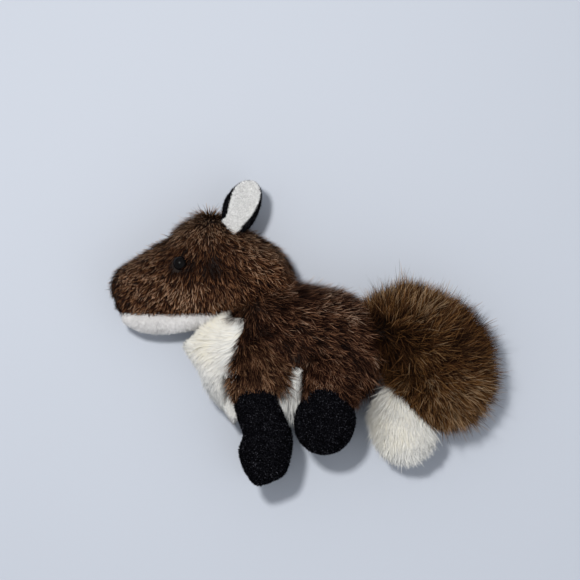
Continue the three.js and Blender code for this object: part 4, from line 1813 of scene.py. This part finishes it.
@dataclass
class Head:
    """The head cover, the chin, the filling, the eyes and the ears."""

    length: float = 67.6
    height: float = 52.0
    width: float = 38.0
    pile_depth: float = 2.1
    chin_depth: float = 0.7
    seam_dip: float = 1.7
    seam_reach: float = 1.8
    eye_radius: float = 3.0
    eye_dome: float = 2.6
    shank_radius: float = 1.2
    shank_length: float = 9.0
    shank_top: float = -0.5
    eye_rim: tuple[tuple[float, float], ...] = ((0.7, -0.4), (0.95, -0.25))
    chin_share: float = 0.225
    chin_rear_share: float = 0.325
    neck_heading: float = 150.0
    skin_grid: tuple[int, int] = (110, 110)
    core_grid: tuple[int, int] = (40, 40)
    filling_seed: int = 5
    bend_before: float = 9.0
    bend_after: float = 11.0
    core_gap: float = 2.0
    trim: Trim = Trim(0.42, 8.0)
    trim_rear: float = 3.0
    profile: Profile = (
        (0.992, 0.085, -0.07, 0.2),
        (0.972, 0.14, -0.165, 0.42),
        (0.911, 0.203, -0.29, 0.55),
        (0.822, 0.268, -0.358, 0.61),
        (0.719, 0.354, -0.385, 0.68),
        (0.63, 0.426, -0.382, 0.755),
        (0.57, 0.508, -0.375, 0.815),
        (0.497, 0.55, -0.358, 0.9),
        (0.393, 0.613, -0.308, 0.98),
        (0.275, 0.588, -0.285, 1.0),
        (0.157, 0.512, -0.285, 1.0),
        (0.038, 0.42, -0.277, 0.97),
        (-0.08, 0.32, -0.219, 0.88),
        (-0.169, 0.18, -0.085, 0.6),
    )

    def __post_init__(self) -> None:
        """Works out the seams' places from the neck."""
        self.middle = self.width / 2 - TABLE_FLAT
        self.chin_seam = NECK[1] - self.chin_share * self.height
        self.chin_rear = NECK[0] - self.chin_rear_share * self.length
        low, high = node_box("eye_left")
        self.eye = (low + high) / 2

    def loft(self) -> Loft:
        """Gives the head's form."""
        place = (NECK[0], NECK[1], self.middle)
        return Loft(side_stations(self.profile, place, -self.length, self.height, self.width), nose=0.1)

    def chin(self, points: np.ndarray) -> np.ndarray:
        """Says which points belong to the chin."""
        return (points[:, 0] < self.chin_rear) & (points[:, 1] < self.chin_seam)

    def inside_chin(self, mesh: bpy.types.Mesh) -> np.ndarray:
        """Gives how far each vertex of the chin lies inside its seams."""
        points = read_mesh(mesh)[0] / MM
        return np.minimum(self.chin_rear - points[:, 0], self.chin_seam - points[:, 1])

    def make(self, shop: Workshop) -> None:
        """Makes the head's pieces.

        Args:
            shop: Makes the covers and the filling.
        """
        cuts = (
            (Vector((self.chin_rear, 0, 0)), Vector((1, 0, 0))),
            (Vector((0, self.chin_seam, 0)), Vector((0, 1, 0))),
        )
        skin = self.loft().mesh("head_skin", *self.skin_grid, self.pile_depth)
        brown = part_of(skin, "head_brown", lambda p: ~self.chin(p), cuts)
        jaw = self.loft().mesh("jaw_skin", *self.skin_grid, self.chin_depth)
        chin = part_of(jaw, "head_chin", self.chin, cuts)
        draw_in(chin, self.seam_dip * np.exp(-(self.inside_chin(chin) / self.seam_reach) ** 2))
        way = plan_way(self.neck_heading)
        bend = Bend("torso", "head", NECK - self.bend_before * way, NECK + self.bend_after * way)
        shop.cover(
            "head_cover", "head", "brown_pile", brown, Ground.BROWN, self.brown_coat(),
            HEAD_PILE, Pelt.HEAD, bend,
        )
        shop.cover(
            "chin_panel", "head", "white_short_pile", chin, Ground.CHIN, self.chin_coat(),
            CHIN_NAP, Pelt.CHIN,
        )
        core = self.loft().mesh("head_core", *self.core_grid, self.pile_depth + self.core_gap)
        shop.filling("head_stuffing", "head", core, self.filling_seed)
        for side in Side:
            self.make_eye(shop, side)
            Ear(side).make(shop)

    def clear_of_chin(self, points: np.ndarray) -> np.ndarray:
        """Gives the share of the pile's length that keeps off the chin."""
        share = self.trim.share(points[:, 1] - self.chin_seam)
        return np.where(points[:, 0] < self.chin_rear + self.trim_rear, share, 1.0)

    def brown_coat(self) -> Coat:
        """Brushes the muzzle forwards and down, the crown down, and the cheeks back and down.

        Returns:
            The coat.
        """
        x, y = self.eye[0], self.eye[1]
        return Coat(
            length=4.7, tone=0.325,
            strokes=(
                Stroke(-80, 20, 222), Stroke(-72, 12, 228), Stroke(-70, 26, 214), Stroke(-60, 16, 236),
                Stroke(-60, 32, 212), Stroke(-52, 14, 252), Stroke(-52, 30, 240), Stroke(-54, 40, 225),
                Stroke(-46, 22, 272), Stroke(-46, 36, 262), Stroke(-45, 47, 250), Stroke(-38, 46, 285),
                Stroke(-38, 34, 300), Stroke(-40, 12, 290), Stroke(-30, 38, 325), Stroke(-28, 24, 315),
                Stroke(-28, 12, 300), Stroke(-20, 32, 340), Stroke(-14, 20, 325), Stroke(-16, 8, 310),
            ),
            longer=(
                Patch(-80, 18, 14, -1.6), Patch(-20, 18, 14, 2.4), Patch(-43, 49, 8, 2.4),
                Patch(-7, 29, 7, -2.2), Patch(x, y, 5, -0.8), Patch(-60, 10, 10, -0.8),
            ),
            # Patch(-41, 28, 8, -0.16) paints shade into the fur's parting behind the eye.
            lighter=(
                Patch(-68, 18, 12, 0.11), Patch(-54, 18, 7, 0.14), Patch(-36, 16, 9, 0.06),
                Patch(-46, 44, 8, 0.08), Patch(-41, 28, 8, -0.16), Patch(-80, 13, 6, -0.12),
                Patch(-24, 34, 7, 0.1), Patch(-43, 51, 5, 0.16), Patch(x, y, 4, -0.2),
            ),
            thinner=(Patch(x, y, 2.5, -2.4),),
            trim=self.clear_of_chin,
            # Painted light along the crown's edge.
            tilt=0.4,
            rim=0.5,
        )

    def chin_coat(self) -> Coat:
        """Brushes the chin forwards, and longer below the cheek."""
        strokes = (Stroke(-70, 5, 215), Stroke(-50, 2, -60))
        return Coat(length=1.5, tone=0.54, strokes=strokes, longer=(Patch(-43, 3, 6, 2.4),))

    def make_eye(self, shop: Workshop, side: Side) -> None:
        """Makes one glossy bead on its shank, and dresses its washer.

        Args:
            shop: Makes the bead.
            side: The eye's side.
        """
        node = f"eye_{side.word}"
        low, high = node_box(node)
        middle = (low + high) / 2
        top = high[2] if side is Side.LEFT else low[2]
        base = np.array([middle[0], middle[1], top - side.value * self.eye_dome])
        dome = [
            (self.eye_radius * math.cos(a), self.eye_dome * math.sin(a))
            for a in np.linspace(0, math.pi / 2, 14)[:-1]
        ]
        profile = [
            (0.0, -self.shank_length), (self.shank_radius, -self.shank_length),
            (self.shank_radius, self.shank_top),
            *((share * self.eye_radius, height) for share, height in self.eye_rim),
            *dome, (0.0, self.eye_dome),
        ]
        mesh = lathe_mesh(node + "_bead", profile, 40, base, side.value)
        bead = shop.part(node + "_bead", mesh, Ground.EYE, "head", "eye_gloss")
        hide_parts(node)
        washer = frame["nodes"][f"eye_washer_{side.word}"]
        washer.material_slots[0].material = finish_of(Ground.NYLON)


@dataclass(frozen=True, eq=False)
class LegPlan:
    """What differs between the front and the hind legs."""

    word: str
    pivot: np.ndarray
    radius: float
    length: float
    width: float
    boot_span: float
    boot_start: float
    seam_bow: float
    seam_shift: float
    pelt: Pelt
    profiles: dict[Side, Profile]
    front_heading: float
    front_longer: float
    rear_longer: float
    hem_longer: float
    hem_lighter: float


FRONT_ROOT: Profile = ((0.24, -0.02, 0.46, 0.8), (0.4, 0.09, 0.5, 0.98))
FRONT_TOE: Profile = ((1.0, 0.08, 0.08, 0.16),)
UPPER_PAW: Profile = (
    (0.58, 0.25, 0.512, 1.0), (0.74, 0.255, 0.5, 1.0), (0.9, 0.225, 0.4, 0.84), (0.97, 0.13, 0.23, 0.5),
)
LOWER_PAW: Profile = (
    (0.58, 0.24, 0.52, 1.0), (0.74, 0.18, 0.555, 1.0), (0.9, 0.15, 0.42, 0.84), (0.97, 0.11, 0.24, 0.5),
)
HIND_PROFILE: Profile = (
    (0.3, 0.045, 0.4, 0.8),
    (0.43, 0.03, 0.46, 0.95),
    (0.6, 0.02, 0.5, 1.0),
    (0.8, 0.01, 0.435, 0.9),
    (0.93, 0.01, 0.285, 0.6),
    (0.98, 0.01, 0.165, 0.36),
    (1.0, 0.01, 0.03, 0.08),
)


class Limb(Enum):
    """The pairs of legs."""

    FRONT = LegPlan(
        "front_leg", SHOULDER, radius=11.5, length=51.0, width=20.6, boot_span=14.6, boot_start=10.2,
        seam_bow=0.03, seam_shift=2.0, pelt=Pelt.LEG,
        profiles={
            Side.LEFT: FRONT_ROOT + UPPER_PAW + FRONT_TOE,
            Side.RIGHT: FRONT_ROOT + LOWER_PAW + FRONT_TOE,
        },
        front_heading=-120.0, front_longer=0.0, rear_longer=4.8, hem_longer=-2.0, hem_lighter=0.4,
    )
    HIND = LegPlan(
        "hind_leg", HIP, radius=9.5, length=35.0, width=26.6, boot_span=17.0, boot_start=6.4,
        seam_bow=0.05, seam_shift=0.0, pelt=Pelt.BODY, profiles=dict.fromkeys(Side, HIND_PROFILE),
        front_heading=-82.0, front_longer=-2.2, rear_longer=2.2, hem_longer=0.0, hem_lighter=0.0,
    )


@dataclass
class Leg:
    """One leg: a brown upper part, a black boot and its filling."""

    limb: Limb
    side: Side
    body_middle: float
    spread: float = 14.0
    root_spread: float = 17.0
    root_span: float = 9.0
    upper_pile: float = 1.6
    boot_pile: float = 0.45
    core_inset: float = 2.8
    upper_grid: tuple[int, int] = (110, 90)
    boot_grid: tuple[int, int] = (120, 90)
    core_grid: tuple[int, int] = (36, 28)
    filling_seed: int = 7
    root_rings: tuple[float, ...] = (0.96, 0.7, 0.0)
    root_edge: float = 0.8
    trim: Trim = Trim(0.25, 11.0)
    edge_share: float = 0.55
    edge_reach: float = 4.0
    edge_trim: float = 0.8

    def __post_init__(self) -> None:
        """Takes up the plan of the front or the hind legs."""
        self.plan = self.limb.value
        self.name = f"{self.plan.word}_{self.side.word}"

    def loft(self) -> Loft:
        """Gives the leg's form.

        Returns:
            The form, from the root's round end to the toe.
        """
        plan = self.plan
        x, y = plan.pivot[0], plan.pivot[1]
        root = [
            Station(
                (x, y + share * plan.radius, self.body_middle + self.side.value * self.root_spread), 0.0,
                plan.radius * math.sqrt(1 - share ** 2),
                self.root_span / 2 * math.sqrt(1 - self.root_edge * share ** 2),
            )
            for share in self.root_rings
        ]
        height = self.body_middle + self.side.value * self.spread
        limb = [
            Station(
                (x + shift * plan.width, y - along * plan.length, height), 0.0,
                half * plan.width, span * plan.boot_span / 2,
            )
            for along, shift, half, span in plan.profiles[self.side]
        ]
        return Loft(tuple(root + limb))

    def make(self, shop: Workshop) -> None:
        """Makes the leg's pieces.

        Args:
            shop: Makes the covers and the filling.
        """
        name = self.name
        thin = self.loft().mesh(name + "_upper_skin", *self.upper_grid, self.upper_pile)
        upper = part_of(thin, name + "_upper_part", lambda p: self.above_boot(p) > 0)
        full = self.loft().mesh(name + "_boot_skin", *self.boot_grid, self.boot_pile)
        boot = part_of(full, name + "_boot_part", lambda p: self.above_boot(p) < 0)
        shop.cover(
            f"{name}_upper", name, "brown_pile", upper, Ground.BROWN, self.upper_coat(),
            LEG_PILE, self.plan.pelt,
        )
        shop.cover(
            f"{name}_boot", name, "black_short_pile", boot, Ground.BLACK,
            Coat(length=0.8, tone=0.43, strokes=(Stroke(0, 0, -90),)), BOOT_NAP, Pelt.BOOT, fill=0.85,
        )
        inner = Loft(self.loft().stations[len(self.root_rings) - 1:])
        core = inner.mesh(name + "_core", *self.core_grid, self.core_inset)
        shop.filling(f"{name}_stuffing", name, core, self.filling_seed)

    def above_boot(self, points: np.ndarray) -> np.ndarray:
        """Gives how far points lie above the boot's bowed seam.

        Args:
            points: Points of the plan.

        Returns:
            The distance of each, below 0 on the boot.
        """
        plan = self.plan
        bow = plan.seam_bow * (points[:, 0] - (plan.pivot[0] + plan.seam_shift)) ** 2
        return points[:, 1] - (plan.pivot[1] - plan.boot_start - bow)

    def clear_of_boot(self, points: np.ndarray) -> np.ndarray:
        """Gives the share of the pile's length that keeps off the boot, more of it at the edges.

        Args:
            points: Places on the skin.

        Returns:
            The share at each.
        """
        out = np.abs(points[:, 0] - self.plan.pivot[0]) - self.edge_share * self.plan.radius
        edge = self.edge_trim * np.clip(out / self.edge_reach, 0.0, 1.0)
        return self.trim.share(self.above_boot(points), edge)

    def upper_coat(self) -> Coat:
        """Brushes the upper leg down and out over the boot.

        Returns:
            The coat.
        """
        plan = self.plan
        x, y, r = plan.pivot[0], plan.pivot[1], plan.radius
        return Coat(
            length=6.2, tone=0.29,
            strokes=(
                Stroke(x, y + r, -50), Stroke(x, y, -72), Stroke(x - r, y - 4, plan.front_heading),
                Stroke(x + r, y - 3, -24), Stroke(x, y - r, -85),
            ),
            longer=(
                Patch(x + r, y - 5, 6, plan.rear_longer), Patch(x + r - 2, y - r - 2, 4, plan.hem_longer),
                Patch(x - r, y + 1, 5, plan.front_longer),
            ),
            lighter=(Patch(x + r, y - r, 6, plan.hem_lighter), Patch(x - r, y - r, 6, 0.12)),
            trim=self.clear_of_boot,
        )


@dataclass
class Tail:
    """The bushy tail: a brown cover, a white tip and the filling."""

    reach: float = 49.5
    span: float = 41.0
    curl_out: float = 11.5
    curl_drop: float = 23.0
    seam_offset: float = 3.0
    seam_heading: float = 224.0
    bend_start: tuple[float, float, float] = (-8.0, 4.0, 0.0)
    bend_end: tuple[float, float, float] = (4.0, -2.0, 0.0)
    core_inset: float = 2.2
    skin_grid: tuple[int, int] = (120, 90)
    core_grid: tuple[int, int] = (44, 32)
    filling_seed: int = 9
    trim: Trim = Trim(0.42, 11.0)
    profile: Profile = (
        (122.0, 0.3, 0.5, 0.42),
        (106.0, 0.16, 0.545, 0.56),
        (84.0, 0.08, 0.605, 0.68),
        (54.0, 0.07, 0.685, 0.74),
        (24.0, 0.07, 0.768, 0.76),
        (-3.0, 0.07, 0.785, 0.76),
        (-22.0, 0.07, 0.74, 0.75),
        (-36.0, 0.07, 0.645, 0.72),
        (-47.0, 0.07, 0.57, 0.7),
        (-58.0, 0.07, 0.63, 0.68),
        (-70.0, 0.07, 0.7, 0.66),
        (-82.0, 0.08, 0.7, 0.62),
        (-92.0, 0.14, 0.63, 0.52),
        (-99.0, 0.22, 0.52, 0.36),
        (-103.0, 0.3, 0.42, 0.16),
    )

    def __post_init__(self) -> None:
        """Places the curl by the tail's root."""
        self.curl = np.array([TAIL_ROOT[0] + self.curl_out, TAIL_ROOT[1] - self.curl_drop])
        self.middle = self.span / 2 - TABLE_FLAT

    def loft(self) -> Loft:
        """Gives the form of the tail's skin, inside its pile.

        Returns:
            The form, from the root to the tip.
        """
        stations = []
        for heading, inner, outer, span in self.profile:
            way = plan_way(heading)
            reach = (inner + outer) / 2 * self.reach
            middle = (self.curl[0] + reach * way[0], self.curl[1] + reach * way[1], self.middle)
            stations.append(Station(middle, heading, (outer - inner) / 2 * self.reach, span * self.span / 2))
        return Loft(tuple(stations))

    def past_seam(self, points: np.ndarray) -> np.ndarray:
        """Gives how far points lie past the white tip's seam.

        Args:
            points: Points of the plan.

        Returns:
            The distance of each.
        """
        way = plan_way(self.seam_heading)
        out = (points[:, 0] - self.curl[0]) * way[0] + (points[:, 1] - self.curl[1]) * way[1]
        return out - self.seam_offset

    def clear_of_tip(self, points: np.ndarray) -> np.ndarray:
        """Gives the share of the brown pile's length that keeps off the white tip."""
        return self.trim.share(-self.past_seam(points))

    def tip(self, points: np.ndarray) -> np.ndarray:
        """Says which points belong to the white tip."""
        return self.past_seam(points) > 0

    def make(self, shop: Workshop) -> None:
        """Makes the tail's pieces.

        Args:
            shop: Makes the covers and the filling.
        """
        way = Vector(plan_way(self.seam_heading))
        cut = ((Vector((*self.curl, 0)) + way * self.seam_offset, way),)
        skin = self.loft().mesh("tail_skin", *self.skin_grid)
        brown = part_of(skin, "tail_brown", lambda p: ~self.tip(p), cut)
        white = part_of(skin, "tail_white", self.tip, cut)
        bend = Bend("torso", "tail", TAIL_ROOT + self.bend_start, TAIL_ROOT + self.bend_end)
        shop.cover(
            "tail_cover", "tail", "tail_pile", brown, Ground.BROWN, self.brown_coat(),
            TAIL_PILE, Pelt.TAIL, bend,
        )
        shop.cover(
            "tail_tip", "tail", "white_pile", white, Ground.WHITE, self.white_coat(), TIP_PILE, Pelt.WHITE,
        )
        core = self.loft().mesh("tail_core", *self.core_grid, self.core_inset)
        shop.filling("tail_stuffing", "tail", core, self.filling_seed)

    def brown_coat(self) -> Coat:
        """Fans the tail's fur out from its root.

        Returns:
            The coat.
        """
        x, y = TAIL_ROOT[0], TAIL_ROOT[1]
        return Coat(
            length=9.8, tone=0.38,
            strokes=(
                Stroke(x, y + 8, 130), Stroke(x + 8, y + 10, 105), Stroke(x + 20, y + 8, 85),
                Stroke(x + 36, y, 50), Stroke(x + 48, y - 14, 15), Stroke(x + 50, y - 28, -15),
                Stroke(x + 44, y - 38, -45), Stroke(x + 30, y - 38, -75), Stroke(x + 18, y - 28, -95),
                Stroke(x + 4, y - 16, -100), Stroke(x + 16, y - 12, -30), Stroke(x + 30, y - 18, -30),
                Stroke(x + 14, y, 60), Stroke(x + 28, y - 6, 30),
            ),
            longer=(Patch(x + 4, y + 2, 8, -1.5), Patch(x + 14, y + 6, 8, 1.5)),
            lighter=(
                Patch(x + 18, y + 7, 9, 0.2), Patch(x + 32, y + 3, 9, 0.16), Patch(x + 4, y + 6, 6, 0.2),
                Patch(x + 42, y - 36, 14, 0.17), Patch(x + 10, y - 10, 11, -0.22),
                Patch(x + 42, y - 9, 11, -0.2),
            ),
            trim=self.clear_of_tip,
        )

    def white_coat(self) -> Coat:
        """Brushes the white tip down and back.

        Returns:
            The coat.
        """
        x, y = self.curl[0], self.curl[1]
        return Coat(
            length=8.0, tone=0.52,
            strokes=(Stroke(x + 2, y - 16, -80), Stroke(x + 10, y - 32, -62), Stroke(x - 4, y - 28, -100)),
            # Painted shade darkens the tip's lower fringe, and painted light lightens its middle.
            lighter=(Patch(x + 8, y - 42, 11, -0.6), Patch(x + 1, y - 24, 9, 0.2)),
        )


# Studio


@dataclass(frozen=True)
class Lamp:
    """One square lamp: the way to it from the fox, how far away it hangs, its side, watts and colour."""

    name: str
    way: tuple[float, float, float]
    away: float
    size: float
    power: float
    colour: Colour

    def hang(self) -> None:
        """Hangs the lamp, facing the fox."""
        light = bpy.data.lights.new(self.name, "AREA")
        light.size = self.size * MM
        light.energy = self.power
        light.color = self.colour
        lamp = bpy.data.objects.new(self.name, light)
        direction = Vector(self.way).normalized()
        lamp.location = direction * self.away * MM
        lamp.rotation_mode = "QUATERNION"
        lamp.rotation_quaternion = direction.to_track_quat("Z", "Y")
        bpy.context.scene.collection.objects.link(lamp)


@dataclass(frozen=True)
class Studio:
    """The floor, the lamps and the camera over the fox."""

    frame_width: float = 249.4
    centre: tuple[float, float] = (-7.3, 18.0)
    focus: float = 20.0
    distance: float = 1500.0
    floor_size: float = 6000.0
    floor_colour: Colour = (0.53, 0.568, 0.64)
    floor_mottle: float = 0.97
    sky_colour: Colour = (0.92, 0.95, 1.0)
    sky_strength: float = 0.47
    lamps: tuple[Lamp, ...] = (
        Lamp("key", (-0.17, 0.19, 0.967), away=900.0, size=70.0, power=5.4, colour=(1.0, 0.985, 0.96)),
        Lamp("fill", (0.55, -0.4, 0.73), away=1100.0, size=900.0, power=0.9, colour=(0.94, 0.97, 1.0)),
    )

    def make(self) -> None:
        """Builds the studio."""
        self.make_floor()
        for lamp in self.lamps:
            lamp.hang()
        world = bpy.data.worlds.new("studio")
        bpy.context.scene.world = world
        world.use_nodes = True
        sky = Recipe(world.node_tree)
        light = sky.node("ShaderNodeBackground", None, {
            "Color": (*self.sky_colour, 1.0), "Strength": self.sky_strength,
        })
        sky.node("ShaderNodeOutputWorld", None, {"Surface": light["Background"]})
        self.make_camera()
        bpy.context.scene.view_settings.view_transform = "Standard"

    def make_floor(self) -> None:
        """Lays the plain pale floor."""
        half = self.floor_size / 2 * MM
        mesh = bpy.data.meshes.new("floor")
        corners = [(-half, -half, 0), (half, -half, 0), (half, half, 0), (-half, half, 0)]
        mesh.from_pydata(corners, [], [(0, 1, 2, 3)])
        paint = Paint("floor_board")
        slow = paint.noise(paint.place(), 6.0, 2.0)["Fac"]
        shade = tuple(self.floor_mottle * c for c in self.floor_colour)
        mesh.materials.append(paint.surface({
            "Base Color": paint.mix(slow, (*shade, 1.0), (*self.floor_colour, 1.0)),
            "Roughness": 0.6,
        }))
        place_object("floor", mesh)

    def make_camera(self) -> None:
        """Hangs the camera straight over the fox."""
        data = bpy.data.cameras.new("camera")
        data.sensor_width = 36.0
        data.lens = data.sensor_width * self.distance / self.frame_width
        data.clip_start = 0.01
        camera = bpy.data.objects.new("camera", data)
        camera.location = Vector((*self.centre, self.focus + self.distance)) * MM
        bpy.context.scene.collection.objects.link(camera)
        bpy.context.scene.camera = camera


def main() -> None:
    """Builds the studio and the fox, piece by piece."""
    logging.basicConfig(level=logging.INFO, format="%(name)s: %(message)s")
    Studio().make()
    shop = Workshop()
    torso = Torso()
    torso.make(shop)
    Head().make(shop)
    for limb in Limb:
        for side in Side:
            Leg(limb, side, torso.middle).make(shop)
    Tail().make(shop)
    LOG.info("%d pieces", shop.made)


if __name__ == "__main__":
    main()
